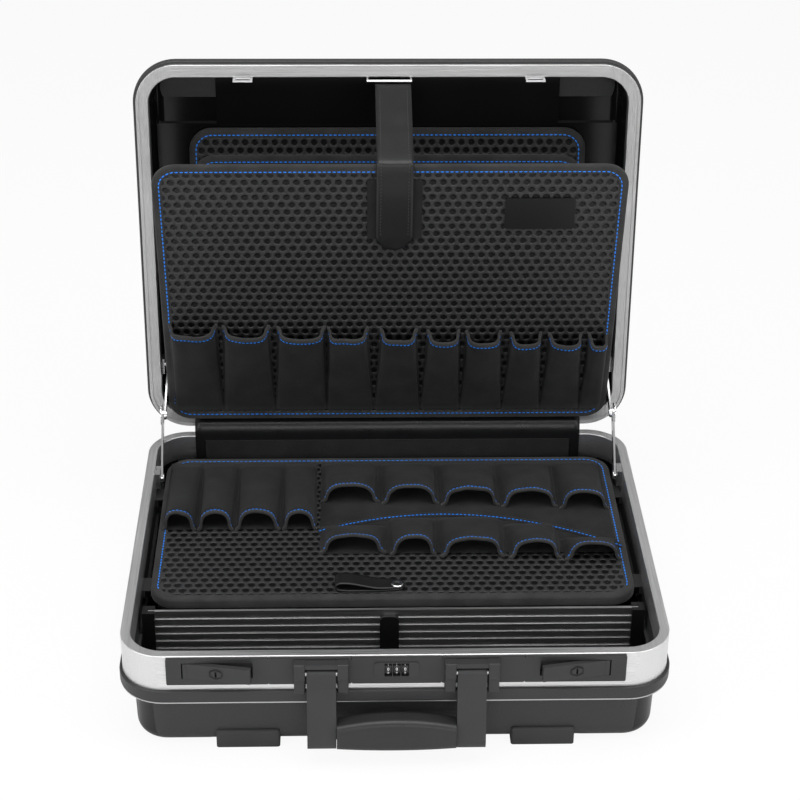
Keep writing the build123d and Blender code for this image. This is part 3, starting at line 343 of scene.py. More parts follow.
def shell_plastic(name, low, high):
    material, tree, shader = start_finish(name, (0.022, 0.022, 0.0235), 0.45)
    inside = inside_box(tree, low, high)
    outside = sum_of(tree, 1.0, inside, "SUBTRACT")
    grain = tree.nodes.new("ShaderNodeTexVoronoi")
    grain.inputs["Scale"].default_value = 620.0
    tree.links.new(place_input(tree), grain.inputs["Vector"])
    cloudy = noise_of(tree, place_input(tree), 9.0, 3.0)
    rough = sum_of(tree, spread(tree, cloudy, 0.14, 0.26), sum_of(tree, outside, 0.24, "MULTIPLY"))
    tree.links.new(rough, shader.inputs["Roughness"])
    # Painted shade: the inside of the shell gets a far darker colour than the outside.
    tint(tree, shader, outside, (0.0035, 0.0035, 0.0037), (0.029, 0.029, 0.0305))
    height = sum_of(tree, grain.outputs["Distance"], outside, "MULTIPLY")
    add_bump(tree, shader, height, 0.5, 0.00035)
    return material


inner_low = at(-223.2, 11.8, -97.5)
inner_high = at(223.2, 358.2, -26.0)
base_plastic = shell_plastic("base_plastic", inner_low, inner_high)
lid_low = on_lid(-223.0, 14.0, 0) - Vector((0, 0.03, 0))
lid_high = on_lid(223.0, 361.0, 0) + Vector((0, 0.0505, 0))
lid_plastic = shell_plastic("lid_plastic", lid_low, lid_high)

# %% [markdown]
# The locks, the combination plate and the handle are cast in black plastic with a fine spark grain. The
# grip is softer and smoother, the feet are matt rubber, and the inner parts share the plainer plastic.

# %% Plastics and rubber
def grained_plastic(name, color, roughness, grain_scale, depth):
    material, tree, shader = start_finish(name, color, roughness)
    fine = noise_of(tree, place_input(tree), grain_scale, 3.0)
    broad = noise_of(tree, place_input(tree), 22.0, 2.0)
    tint(tree, shader, broad, tuple(c * 0.75 for c in color), tuple(c * 1.3 for c in color))
    low, high = roughness - 0.06, roughness + 0.1
    tree.links.new(spread(tree, fine, low, high), shader.inputs["Roughness"])
    add_bump(tree, shader, fine, 0.35, depth)
    return material


lock_plastic = grained_plastic("lock_plastic", (0.027, 0.027, 0.028), 0.42, 1500.0, 0.00012)
arm_plastic = grained_plastic("arm_plastic", (0.03, 0.03, 0.0315), 0.5, 1100.0, 0.0002)
grip_skin = grained_plastic("grip_skin", (0.02, 0.02, 0.0205), 0.36, 700.0, 0.00022)
foot_rubber = grained_plastic("foot_rubber", (0.034, 0.034, 0.034), 0.62, 800.0, 0.0002)
inner_plastic = grained_plastic("inner_plastic", (0.006, 0.006, 0.0062), 0.3, 1200.0, 0.0001)
dial_plastic = grained_plastic("dial_plastic", (0.008, 0.008, 0.008), 0.3, 1500.0, 0.00005)

# %% [markdown]
# Small metal parts are plated or plain steel. A little unevenness in the roughness stops them from looking
# like a computer's perfect mirror.

# %% Plated and plain steel
def steel_finish(name, tone, roughness):
    material, tree, shader = start_finish(name, (tone, tone, tone * 1.01), roughness, 1.0)
    smear = noise_of(tree, place_input(tree), 160.0, 3.0)
    tree.links.new(spread(tree, smear, roughness * 0.6, roughness * 1.5), shader.inputs["Roughness"])
    add_bump(tree, shader, noise_of(tree, place_input(tree), 900.0, 2.0), 0.1, 0.00005)
    return material


bright_steel = steel_finish("bright_steel", 0.8, 0.14)
plain_steel = steel_finish("plain_steel", 0.55, 0.3)

# %% [markdown]
# The boards are faced with black foam, embossed with a honeycomb of round dimples. Two square grids of
# points, one set half a step off the other, make such a honeycomb: the distance to the nearer point gives
# the dimple, which is pressed in by the bump and darkened, because little light reaches its bottom.

# %% Dimpled foam
dimple_pitch = 9.4
dimple_row = dimple_pitch * math.sqrt(3)
dimple_edge = 3.9
dimple_floor = 2.3


def dimpled_foam(name, rotation):
    material, tree, shader = start_finish(name, (0.03, 0.03, 0.031), 0.42)
    turned = place_input(tree, rotation=rotation)
    step = (1000 / dimple_pitch, 1000 / dimple_row, 0)
    distances = []
    for offset in (0.0, 0.5):
        mapping = tree.nodes.new("ShaderNodeMapping")
        mapping.inputs["Scale"].default_value = step
        mapping.inputs["Location"].default_value = (offset, offset, 0)
        tree.links.new(turned, mapping.inputs["Vector"])
        vector = mapping.outputs["Vector"]
        for operation, value in (
            ("FRACTION", None),
            ("SUBTRACT", (0.5, 0.5, 0)),
            ("MULTIPLY", (dimple_pitch, dimple_row, 0)),
        ):
            node = tree.nodes.new("ShaderNodeVectorMath")
            node.operation = operation
            tree.links.new(vector, node.inputs[0])
            if value is not None:
                node.inputs[1].default_value = value
            vector = node.outputs[0]
        length = tree.nodes.new("ShaderNodeVectorMath")
        length.operation = "LENGTH"
        tree.links.new(vector, length.inputs[0])
        distances.append(length.outputs["Value"])
    nearest = sum_of(tree, distances[0], distances[1], "MINIMUM")
    shape = tree.nodes.new("ShaderNodeMapRange")
    shape.interpolation_type = "SMOOTHSTEP"
    shape.inputs["From Min"].default_value = dimple_floor
    shape.inputs["From Max"].default_value = dimple_edge
    tree.links.new(nearest, shape.inputs["Value"])
    web = shape.outputs["Result"]
    tint(tree, shader, web, (0.0012, 0.0012, 0.0012), (0.029, 0.029, 0.0302))
    pores = noise_of(tree, place_input(tree), 1400.0, 2.0)
    height = sum_of(tree, web, sum_of(tree, pores, 0.05, "MULTIPLY"))
    add_bump(tree, shader, height, 0.9, 0.0016)
    return material


flat_foam = dimpled_foam("flat_foam", (0, 0, 0))
standing_foam = dimpled_foam("standing_foam", (-(math.radians(90) - lid_lean), 0, 0))
leaning_foam = dimpled_foam(
    "leaning_foam", (-(math.radians(90) - lid_lean + front_board_tilt), 0, 0)
)

# %% [markdown]
# Cloth, leather and the hook strip differ in scale more than in colour. The pockets are close-woven nylon
# with a soft sheen. The edge tape is the same cloth, a shade lighter: partly its own lighter binding, and
# partly painted light for the lit top edges of the boards.
# The leather shines and has pores. The hook strip swallows light.

# %% Cloth, leather and hook strip
def woven_cloth(name, dark, light, sheen):
    material, tree, shader = start_finish(name, light, 0.86)
    shader.inputs["Sheen Weight"].default_value = sheen
    shader.inputs["Sheen Roughness"].default_value = 0.5
    shader.inputs["Specular IOR Level"].default_value = 0.25
    weave = tree.nodes.new("ShaderNodeTexVoronoi")
    weave.inputs["Scale"].default_value = 1250.0
    tree.links.new(place_input(tree), weave.inputs["Vector"])
    worn = noise_of(tree, place_input(tree), 45.0, 3.0)
    fleck = noise_of(tree, place_input(tree), 1600.0, 1.0)
    tint(tree, shader, sum_of(tree, worn, fleck, "MULTIPLY"), dark, light)
    add_bump(tree, shader, weave.outputs["Distance"], 0.6, 0.00035)
    return material


pocket_cloth = woven_cloth("pocket_cloth", (0.002, 0.002, 0.0022), (0.038, 0.038, 0.04), 0.04)
# The tape's lighter colour is partly its own and partly painted light for the boards' lit top edges.
edge_tape = woven_cloth("edge_tape", (0.008, 0.008, 0.0083), (0.078, 0.077, 0.076), 0.1)
hook_cloth = woven_cloth("hook_cloth", (0.003, 0.003, 0.003), (0.028, 0.028, 0.029), 0.05)


def leather(name, color, roughness, pore_scale):
    material, tree, shader = start_finish(name, color, roughness)
    pores = tree.nodes.new("ShaderNodeTexVoronoi")
    pores.inputs["Scale"].default_value = pore_scale
    tree.links.new(place_input(tree), pores.inputs["Vector"])
    crease = noise_of(tree, place_input(tree), 70.0, 4.0)
    tree.links.new(spread(tree, crease, roughness - 0.08, roughness + 0.16), shader.inputs["Roughness"])
    height = sum_of(tree, pores.outputs["Distance"], crease)
    add_bump(tree, shader, height, 0.3, 0.00025)
    return material


strap_leather = leather("strap_leather", (0.009, 0.009, 0.0095), 0.33, 900.0)
cover_leather = leather("cover_leather", (0.006, 0.006, 0.0062), 0.27, 700.0)
label_film, _, _ = start_finish("label_film", (0.006, 0.006, 0.0065), 0.3)
blue_thread, _, _ = start_finish("blue_thread", (0.004, 0.21, 0.85), 0.5)
black_thread, _, _ = start_finish("black_thread", (0.05, 0.05, 0.052), 0.6)
white_print, _, _ = start_finish("white_print", (0.8, 0.8, 0.8), 0.5)
mark_paint, _, _ = start_finish("mark_paint", (0.003, 0.003, 0.003), 0.35)
print("materials", len(bpy.data.materials))

# %% [markdown]
# ## Rigid pieces
# The shapes of the rigid pieces are right already, so each only gets its finish.

# %% Dress the rigid pieces
def dress(material, *names):
    for name in names:
        slots = nodes[name].material_slots
        for slot in slots:
            slot.material = material
        if not slots:
            nodes[name].data.materials.append(material)


def both(name):
    return name + "_left", name + "_right"


dress(base_plastic, "base_shell")
dress(lid_plastic, "lid_shell")
dress(base_band_metal, "base_frame")
dress(lid_band_metal, "lid_frame", "lid_board_rail")
dress(divider_metal, "divider_wall")
dress(foot_rubber, "base_feet")
dress(
    lock_plastic, *both("latch_housing"), *both("latch_lever"), "combination_housing",
    *both("handle_bracket"), *both("key_cylinder"),
)
dress(arm_plastic, "handle_frame")
dress(grip_skin, "handle_grip")
dress(inner_plastic, *both("lock_case"), "divider_clip", "divider_end_clips")
dress(dial_plastic, "dial_1", "dial_2", "dial_3")
dress(bright_steel, "strap_ring", "lid_strikers", "pull_tab_snap", *both("stay_lower"), *both("stay_upper"))
dress(
    plain_steel, "hinge_pins", "latch_pins", "handle_pins", "dial_axle", "base_hinge_leaves",
    "lid_hinge_leaves", "stay_brackets_base", "stay_brackets_lid",
)
dress(hook_cloth, "hook_strip", "strap_patch")
dress(cover_leather, "lid_board_flap")
dress(label_film, "label_patch")

# %% [markdown]
# ## Helpers for the soft goods
# A soft piece is drawn flat and then placed. `finish_piece` turns a bmesh into an object that rides on a
# body of the case. `local_box` measures a solid of the model in the flat drawing's own directions, so that
# the piece that stands for it has its size.

# %% Helpers that finish a piece
def finish_piece(name, bm, materials, body, sharp=math.radians(40)):
    mesh = bpy.data.meshes.new(name)
    bm.to_mesh(mesh)
    bm.free()
    for material in materials:
        mesh.materials.append(material)
    mesh.shade_smooth()
    mesh.set_sharp_from_angle(angle=sharp)
    obj = bpy.data.objects.new(name, mesh)
    scene.collection.objects.link(obj)
    if body is not None:
        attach(obj, body)
    return obj


def local_box(node, place):
    """Lowest and highest corner of a solid, in the directions of a flat drawing, in millimetres."""
    back = place.inverted()
    points = [back @ vertex.co / MM for vertex in nodes[node].data.vertices]
    low = Vector([min(p[i] for p in points) for i in range(3)])
    high = Vector([max(p[i] for p in points) for i in range(3)])
    return low, high


def thicken(obj, thickness):
    modifier = obj.modifiers.new("thickness", "SOLIDIFY")
    modifier.thickness = thickness * MM
    modifier.offset = 0.0
    return obj


# %% [markdown]
# A stitch is a short bead of thread, pulled down at both ends. Thousands of them are needed, so each is the
# smallest round form there is, a stretched icosphere of twenty faces. `sew` walks along a line of points
# and lays one at every step.

# %% Helper that sews a line of stitches
stitch_step = 4.4
stitch_length = 3.8
stitch_width = 1.3
stitch_height = 0.9


def sew(bm, points, normals, step=stitch_step, length=stitch_length, width=stitch_width):
    """Lays stitches along a line. Points and normals are in metres, in the case's frame."""
    travelled = step * MM / 2
    for start, end, normal in zip(points, points[1:], normals):
        run = (end - start).length
        if run < 1e-7:
            continue
        along = (end - start) / run
        while travelled < run:
            centre = start + along * travelled
            side = normal.cross(along).normalized()
            turn = Matrix((along, side, side.cross(along))).transposed().to_4x4()
            size = Matrix.Diagonal((length / 2 * MM, width / 2 * MM, stitch_height / 2 * MM, 1))
            bmesh.ops.create_icosphere(
                bm, subdivisions=1, radius=1.0, matrix=Matrix.Translation(centre) @ turn @ size
            )
            travelled += step * MM
        travelled -= run


# %% [markdown]
# ## The boards
# Each board is a foam sheet between two faces, with its edge wrapped in a sewn tape. It starts as a square
# whose corners are bevelled round. That outline is extruded to the board's thickness and its edges are
# rolled. An inset on each face leaves the tape as a border, and a second, shallow one presses the foam in
# beside it.

# %% Helper that makes a board
tape_width = 8.0
foam_step = 0.6
edge_roll = 2.1
corner_steps = 10


def round_face(bm, width, height, centre, radius):
    """A flat face with round corners, in millimetres."""
    made = bmesh.ops.create_grid(bm, x_segments=1, y_segments=1, size=0.5)
    for vertex in made["verts"]:
        vertex.co = Vector((centre[0] + vertex.co.x * width, centre[1] + vertex.co.y * height, 0))
    bmesh.ops.bevel(
        bm, geom=made["verts"], offset=radius, offset_type="OFFSET", affect="VERTICES",
        segments=corner_steps, profile=0.5, material=-1, clamp_overlap=False,
    )
    bm.faces.ensure_lookup_table()
    return bm.faces[0]


def board_mesh(low, high, radius):
    bm = bmesh.new()
    width, height = high.x - low.x, high.y - low.y
    centre = ((low.x + high.x) / 2, (low.y + high.y) / 2)
    face = round_face(bm, width, height, centre, radius)
    made = bmesh.ops.extrude_face_region(bm, geom=[face])
    upper = {element for element in made["geom"] if isinstance(element, bmesh.types.BMVert)}
    for vertex in bm.verts:
        vertex.co.z = high.z if vertex in upper else low.z
    bmesh.ops.recalc_face_normals(bm, faces=bm.faces[:])
    flats = [f for f in bm.faces if abs(f.normal.z) > 0.9]
    rims = list({edge for f in flats for edge in f.edges})
    roll = min(edge_roll, (high.z - low.z) * 0.45)
    bmesh.ops.bevel(
        bm, geom=rims, offset=roll, offset_type="OFFSET", affect="EDGES", segments=4, profile=0.5, material=-1
    )
    flats = sorted(bm.faces, key=lambda f: f.calc_area())[-2:]
    for face in flats:
        bmesh.ops.inset_region(bm, faces=[face], thickness=tape_width - roll, use_even_offset=True)
        bmesh.ops.inset_region(bm, faces=[face], thickness=0.7, depth=-foam_step, use_even_offset=True)
        face.material_index = 1
    return bm


def board_outline(low, high, radius, inset):
    """Points along a board's edge, drawn in by an inset, from the middle of its lower edge."""
    reach = radius - inset
    left, right = low.x + inset, high.x - inset
    bottom, top = low.y + inset, high.y - inset
    points = [Vector(((left + right) / 2, bottom, 0))]
    corners = (
        (right - reach, bottom + reach, -90),
        (right - reach, top - reach, 0),
        (left + reach, top - reach, 90),
        (left + reach, bottom + reach, 180),
    )
    for x, y, start in corners:
        for i in range(9):
            angle = math.radians(start + i * 90 / 8)
            points.append(Vector((x + reach * math.cos(angle), y + reach * math.sin(angle), 0)))
    points.append(points[0].copy())
    return points


def make_board(name, node, body, place, radius, foam, skip_bottom=False):
    low, high = local_box(node, place)
    bm = board_mesh(low, high, radius)
    bm.transform(place @ Matrix.Scale(MM, 4))
    board = finish_piece(name, bm, [edge_tape, foam], body)
    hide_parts(node)
    outline = board_outline(low, high, radius, tape_width - 1.6)
    if skip_bottom:
        outline = [p for p in outline if p.y > low.y + radius * 0.6]
    lift = high.z - 0.05
    points = [place @ (Vector((p.x, p.y, lift)) * MM) for p in outline]
    normal = (place.to_3x3() @ Vector((0, 0, 1))).normalized()
    thread = bmesh.new()
    sew(thread, points, [normal] * len(points))
    finish_piece(name + "_stitches", thread, [blue_thread], body)
    print(name, "is", round(high.x - low.x), "by", round(high.y - low.y), "mm")
    return low, high


# %% The four boards
base_board_place = Matrix.Translation(at(0, 0, 0))
rear_board_setback = 6.0
lid_board_corner, tool_board_corner = 22.0, 24.0
rear_board_place = middle_board_place @ Matrix.Translation(Vector((0, 0, -rear_board_setback)) * MM)
lid_board_box = make_board(
    "front_lid_board", "lid_board_front", "front_board", front_board_place, lid_board_corner, leaning_foam
)
for name, node, body, place in (
    ("middle_lid_board", "lid_board_middle", "middle_board", middle_board_place),
    ("rear_lid_board", "lid_board_rear", "lid", rear_board_place),
):
    make_board(name, node, body, place, lid_board_corner, standing_foam)
base_board_box = make_board(
    "tool_board", "base_board", "tool_board", base_board_place, tool_board_corner, flat_foam, skip_bottom=True
)

# %% [markdown]
# ## Pockets
# A pocket is sewn down flat at its foot and sides and left full at its mouth, so that it stands open for a
# tool. Its section is a few points, rounded by `soft_line` and bent over by a grid that rises from foot to
# mouth. At the foot each pocket also takes up the cloth beside it, so a row shares one strip. The tape
# round the mouth is a second, narrow grid on the same surface, and the blue stitches follow it.

# %% Helpers for soft lines
def soft_line(points, cut, steps=6):
    """Rounds the corners of a line of (y, z) points: each becomes a short curve that cuts it."""
    line = [Vector(points[0])]
    for before, corner, after in zip(points, points[1:], points[2:]):
        before, corner, after = Vector(before), Vector(corner), Vector(after)
        start = corner + (before - corner).normalized() * min(cut, (before - corner).length / 2)
        end = corner + (after - corner).normalized() * min(cut, (after - corner).length / 2)
        for i in range(steps + 1):
            share = i / steps
            line.append(start * (1 - share) ** 2 + corner * 2 * share * (1 - share) + end * share ** 2)
    line.append(Vector(points[-1]))
    return line


def spaced(line, count):
    """The same line with evenly spaced points."""
    lengths = [0.0]
    for a, b in zip(line, line[1:]):
        lengths.append(lengths[-1] + (b - a).length)
    points, piece = [], 0
    for i in range(count):
        goal = lengths[-1] * i / (count - 1)
        while piece < len(line) - 2 and lengths[piece + 1] < goal:
            piece += 1
        span = max(lengths[piece + 1] - lengths[piece], 1e-9)
        share = (goal - lengths[piece]) / span
        points.append(line[piece].lerp(line[piece + 1], min(max(share, 0), 1)))
    return points, lengths[-1]


# %% Helper that bends a grid
def bend_grid(bm, columns, rows, place, surface):
    """Adds a grid whose points are moved onto a surface given by two shares from 0 to 1."""
    made = bmesh.ops.create_grid(bm, x_segments=columns, y_segments=rows, size=0.5)
    for vertex in made["verts"]:
        point = surface(vertex.co.x + 0.5, vertex.co.y + 0.5)
        vertex.co = place @ (point * MM)


# %% The surface of one pocket
pocket_columns = 30
boxy_arch = ((1.0, 0.0), (0.93, 0.25), (0.9, 0.72), (0.62, 0.98), (0.0, 1.04))
bell_arch = ((1.0, 0.0), (0.86, 0.14), (0.84, 0.55), (0.6, 0.93), (0.0, 1.04))


def arch_profile(half_points):
    """The cross-section of a pocket from side to side, as a share of half its width and of its height."""
    left = [(-x, z) for x, z in half_points]
    right = [(x, z) for x, z in reversed(half_points[:-1])]
    return spaced(soft_line(left + right, 0.42, 6), pocket_columns + 1)[0]


def pocket_surface(foot_span, mouth_span, length, lift, arch, seed):
    """The surface of a pocket, in millimetres: x across, y from foot to mouth, z away from the board."""
    profile = arch_profile(arch)

    def surface(across, along):
        share = across * pocket_columns
        first = min(int(share), pocket_columns - 1)
        spot = profile[first].lerp(profile[first + 1], share - first)
        opened = max(along, 0.0) ** 0.8
        low = foot_span[0] + (mouth_span[0] - foot_span[0]) * opened
        high = foot_span[1] + (mouth_span[1] - foot_span[1]) * opened
        squeeze = 1 - 0.06 * opened * min(1.0, spot.y * 3)
        x = (low + high) / 2 + (high - low) / 2 * spot.x * squeeze
        z = (lift + (pocket_height - lift) * max(along, 0.0) ** 0.9) * spot.y
        y = length * along
        loose = spot.y * min(1.0, along * 3)
        z += 1.6 * noise.noise(Vector((x * 0.06, y * 0.04, seed))) * loose
        x += 1.3 * noise.noise(Vector((seed, y * 0.05, x * 0.03))) * loose
        y += 1.8 * noise.noise(Vector((x * 0.06, seed, 0))) * along * spot.y
        return Vector((x, y, z))

    return surface


# %% Helper that sews one pocket
mouth_tape = 3.0
rim_stitch = 4.6
pocket_rows = 10


def sew_pocket(cloth, tape, thread, place, surface, length):
    bend_grid(cloth, pocket_columns, pocket_rows, place, surface)
    tape_start = 1 - mouth_tape / length
    tape_end = 1 + 0.35 / length

    def tape_surface(across, along):
        return surface(across, tape_start + (tape_end - tape_start) * along)

    bend_grid(tape, pocket_columns, 2, place, tape_surface)
    share = 1 - rim_stitch / length
    steps = 40
    rim = [surface(0.03 + 0.94 * i / steps, share) for i in range(steps + 1)]
    inner = [surface(0.03 + 0.94 * i / steps, share - 0.05) for i in range(steps + 1)]
    points, normals = [], []
    for i in range(steps):
        along = rim[i + 1] - rim[i]
        out = along.cross(inner[i] - rim[i])
        out = out.normalized() if out.length > 1e-6 else Vector((0, 0, 1))
        if out.z < 0:
            out = -out
        points.append(place @ ((rim[i] + out * 0.75) * MM))
        normals.append((place.to_3x3() @ out).normalized())
    sew(thread, points, normals, 3.6, 3.1, 1.1)


def finish_pockets(name, body, node_names, cloth, tape, thread):
    pockets = finish_piece(name, cloth, [pocket_cloth], body, math.radians(70))
    thicken(pockets, 1.3)
    rims = finish_piece(name + "_tape", tape, [edge_tape], body, math.radians(70))
    thicken(rims, 2.3)
    stitches = finish_piece(name + "_stitches", thread, [blue_thread], body)
    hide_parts(*node_names)
    return pockets


# %% [markdown]
# The ten pockets of the lid board grow narrower from left to right. Their mouths face up, and their places
# are read from the openings that the model states for them, which lie a cloth's thickness and a little
# inside each pocket. They are boxy: the front stays flat and the sides fold sharply back to the board.

# %% Pockets of the lid board
opening_side = 4.0
pocket_height = 20.0


def cloth_size(surface, length):
    """Width round the mouth of a pocket, worked out from its surface."""
    points = [surface(i / 60, 1.0) for i in range(61)]
    return sum((b - a).length for a, b in zip(points, points[1:]))


board_face = lid_board_box[1].z - foam_step
foot_line = local_box("lid_pockets_left", front_board_place)[0].y
back = front_board_place.inverted()


def opening_span(name):
    low, high = openings[name]
    return (low[0] / MM - opening_side, high[0] / MM + opening_side)


def foot_spans(spans):
    """Where neighbouring pockets share the cloth between them at the foot."""
    middles = [(a[1] + b[0]) / 2 for a, b in zip(spans, spans[1:])]
    starts = [spans[0][0]] + middles
    ends = middles + [spans[-1][1]]
    return list(zip(starts, ends))


cloth, tape, thread = bmesh.new(), bmesh.new(), bmesh.new()
flat_width, flat_length = 0.0, 0.0
spans = [opening_span("lid_pocket_%d" % (i + 1)) for i in range(10)]
for i, (span, foot) in enumerate(zip(spans, foot_spans(spans))):
    low, high = openings["lid_pocket_%d" % (i + 1)]
    mouth = (back @ Vector((0, (low[1] + high[1]) / 2, high[2]))).y / MM - 1.5
    length = mouth - foot_line
    surface = pocket_surface(foot, span, length, 1.4, boxy_arch, i * 3.7)
    place = front_board_place @ Matrix.Translation(Vector((0, foot_line, board_face)) * MM)
    sew_pocket(cloth, tape, thread, place, surface, length)
    flat_width += cloth_size(surface, length) * 0.86
    flat_length = max(flat_length, length)
finish_pockets(
    "lid_pockets", "front_board", ["lid_pockets_left", "lid_pockets_right"],
    cloth, tape, thread,
)
print("lid pockets take", round(flat_width), "mm of cloth")

# %% [markdown]
# The pockets on the tool board open towards the user. Their sides flare out to the board, so each mouth is
# a bell, and the cloth dips to a point between neighbours. The front row starts at a curved seam.

# %% Pockets of the tool board
tool_face = base_board_box[1].z - foam_step
opening_front = 1.5
opening_share = 0.35


def tool_pockets(name, node, prefix, count):
    cloth, tape, thread = bmesh.new(), bmesh.new(), bmesh.new()
    flat_width, flat_length = 0.0, 0.0
    spans = [opening_span("%s_%d" % (prefix, i + 1)) for i in range(count)]
    for i, (span, foot) in enumerate(zip(spans, foot_spans(spans))):
        low, high = openings["%s_%d" % (prefix, i + 1)]
        mouth = (low[1] - front_y) / MM + opening_front
        length = ((high[1] - front_y) / MM - mouth) / opening_share
        turned_foot, turned_span = (-foot[1], -foot[0]), (-span[1], -span[0])
        surface = pocket_surface(turned_foot, turned_span, length, 1.2, bell_arch, 40 + i * 5.3)
        spot = at(0, mouth + length, tool_face)
        place = Matrix.Translation(spot) @ Matrix.Rotation(math.pi, 4, "Z")
        sew_pocket(cloth, tape, thread, place, surface, length)
        flat_width += cloth_size(surface, length) * 0.86
        flat_length = max(flat_length, length)
    finish_pockets(name, "tool_board", [node], cloth, tape, thread)
    print(name, "take", round(flat_width), "mm of cloth")


tool_pockets("left_pockets", "base_pockets_left", "tool_pocket_left", 4)
tool_pockets("rear_pockets", "base_pockets_rear", "tool_pocket_rear", 5)
tool_pockets("front_pockets", "base_pockets_front", "tool_pocket_front", 5)

# %% [markdown]
# Under the pockets of the tool board lies a plain cloth panel, which shows between them. The curved seam is
# a folded edge of the same cloth, sewn down with blue thread.

# %% Cloth panels and the curved seam
def make_panel(name, x_low, x_high, y_low, y_high):
    bm = bmesh.new()
    place = Matrix.Translation(at(0, 0, tool_face + 0.35))

    def surface(across, along):
        x = x_low + (x_high - x_low) * across
        y = y_low + (y_high - y_low) * along
        return Vector((x, y, 0.15 * noise.noise(Vector((x * 0.05, y * 0.05, 1)))))

    bend_grid(bm, 12, 12, place, surface)
    panel = thicken(finish_piece(name, bm, [pocket_cloth], "tool_board"), 0.5)
    return panel, ((x_high - x_low) * MM, (y_high - y_low) * MM)


left_low, left_high = local_box("base_pockets_left", base_board_place)
rear_low, rear_high = local_box("base_pockets_rear", base_board_place)
front_low, _ = local_box("base_pockets_front", base_board_place)
left_panel, left_size = make_panel("left_panel", left_low.x, left_high.x, left_low.y + 2, left_high.y)
right_panel, right_size = make_panel(
    "right_panel", rear_low.x, rear_high.x, front_low.y + 14, rear_high.y
)

seam_low, seam_high = local_box("base_seam_band", base_board_place)
seam_width = 8.0
seam_ends_y = (211.0, 183.0)
seam_middle_y = 237.0


def seam_line(share):
    """A point of the curved seam, by a parabola through its two ends and its middle."""
    left, right = seam_ends_y
    x = seam_low.x + (seam_high.x - seam_low.x) * share
    y = left * (1 - share) + right * share
    bow = seam_middle_y - (left + right) / 2
    return Vector((x, y + 4 * bow * share * (1 - share), 0))


def seam_surface(across, along):
    centre = seam_line(across)
    crown = 1.0 - (2 * along - 1) ** 2
    return centre + Vector((0, (along - 0.5) * seam_width, 1.2 * crown))


bm = bmesh.new()
seam_place = Matrix.Translation(at(0, 0, tool_face + 0.5))
bend_grid(bm, 40, 6, seam_place, seam_surface)
seam = thicken(finish_piece("curved_seam", bm, [pocket_cloth], "tool_board"), 0.9)
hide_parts("base_seam_band")
thread = bmesh.new()
line = [seam_place @ ((seam_surface(i / 60, 0.3) + Vector((0, 0, 0.5))) * MM) for i in range(61)]
sew(thread, line, [Vector((0, 0, 1))] * 61, 3.8, 3.2, 1.1)
seam_thread = finish_piece("curved_seam_stitches", thread, [blue_thread], "tool_board")

# %% [markdown]
# ## Leather
# The hinge cover, the strap and the pull tab are strips that follow a soft line. The strap comes down from
# its ring over the top edge of the board.

# %% The hinge cover
cover_low, cover_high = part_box("hinge_cover")
cover_half = cover_high.x / MM
cover_thickness = 1.6
wall_y = cover_low.y + cover_thickness / 2 * MM
top_z = cover_high.z - cover_thickness / 2 * MM
path_points = [
    (cover_high.y, top_z - 0.0012), (wall_y + 0.008, top_z), (wall_y, top_z - 0.008), (wall_y, cover_low.z),
]
cover_path, cover_length = spaced(soft_line(path_points, 0.0075, 8), 41)
bm = bmesh.new()


def cover_surface(across, along):
    place = cover_path[min(40, round(along * 40))]
    x = (across * 2 - 1) * cover_half
    ripple = 0.25 * noise.noise(Vector((x * 0.02, along * 6, 3)))
    return Vector((x, place.x / MM, place.y / MM + ripple))


bend_grid(bm, 60, 40, Matrix.Identity(4), cover_surface)
cover = finish_piece("cover_over_hinge", bm, [cover_leather], None)
thicken(cover, cover_thickness)
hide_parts("hinge_cover")
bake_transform(cover)
print("hinge cover", round(2 * cover_half), "by", round(cover_length / MM), "mm")

# %% The strap
strap_low, strap_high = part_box("strap")
strap_width = (strap_high.x - strap_low.x) / MM
strap_x = (strap_high.x + strap_low.x) / 2 / MM
strap_thickness = 1.6
board_low, board_high = lid_board_box
patch_thickness, patch_gap = 1.2, 0.3
strap_proud = board_high.z + patch_thickness + patch_gap + strap_thickness / 2
ring_low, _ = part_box("strap_ring")
ring_mm = (front_board_place.inverted() @ Vector((0, ring_low.y + 0.001, ring_low.z - 0.0012))) / MM
top_mm = board_high.y + 2.5
strap_end = 206.0
strap_points = [
    (ring_mm.y, ring_mm.z), (top_mm + 2, board_low.z + 1), (top_mm, strap_proud),
    (top_mm - 14, strap_proud + 0.5), (strap_end + 60, strap_proud + 1.4), (strap_end, strap_proud),
]
strap_path, strap_length = spaced(soft_line(strap_points, 7.0, 8), 91)
end_round = strap_width / 2


def strap_surface(across, along):
    spot = strap_path[round(along * 90)]
    left = strap_length * (1 - along)
    half = strap_width / 2
    if left < end_round:
        half = math.sqrt(max(end_round ** 2 - (end_round - left) ** 2, 0.04))
    x = (across * 2 - 1) * half
    cup = 0.5 * (across * 2 - 1) ** 2
    return Vector((strap_x + x, spot.x, spot.y - cup))


bm = bmesh.new()
bend_grid(bm, 12, 90, front_board_place, strap_surface)
strap = thicken(finish_piece("lid_strap", bm, [strap_leather], None), strap_thickness)
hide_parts("strap")
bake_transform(strap)
print("strap", round(strap_width), "by", round(strap_length), "mm")

# %% Stitches of the strap
thread = bmesh.new()
for side in (0.12, 0.88):
    rows = range(4, 84)
    line = [strap_surface(side, i / 90) for i in rows]
    points, normals = [], []
    for a, b in zip(line, line[1:]):
        out = Vector((1, 0, 0)).cross(b - a).normalized()
        out = -out if out.z < 0 else out
        points.append(front_board_place @ ((a + out * (strap_thickness / 2 + 0.1)) * MM))
        normals.append((front_board_place.to_3x3() @ out).normalized())
    sew(thread, points, normals, 3.6, 2.6, 0.7)
strap_seams = finish_piece("lid_strap_stitches", thread, [black_thread], None)
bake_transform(strap_seams)

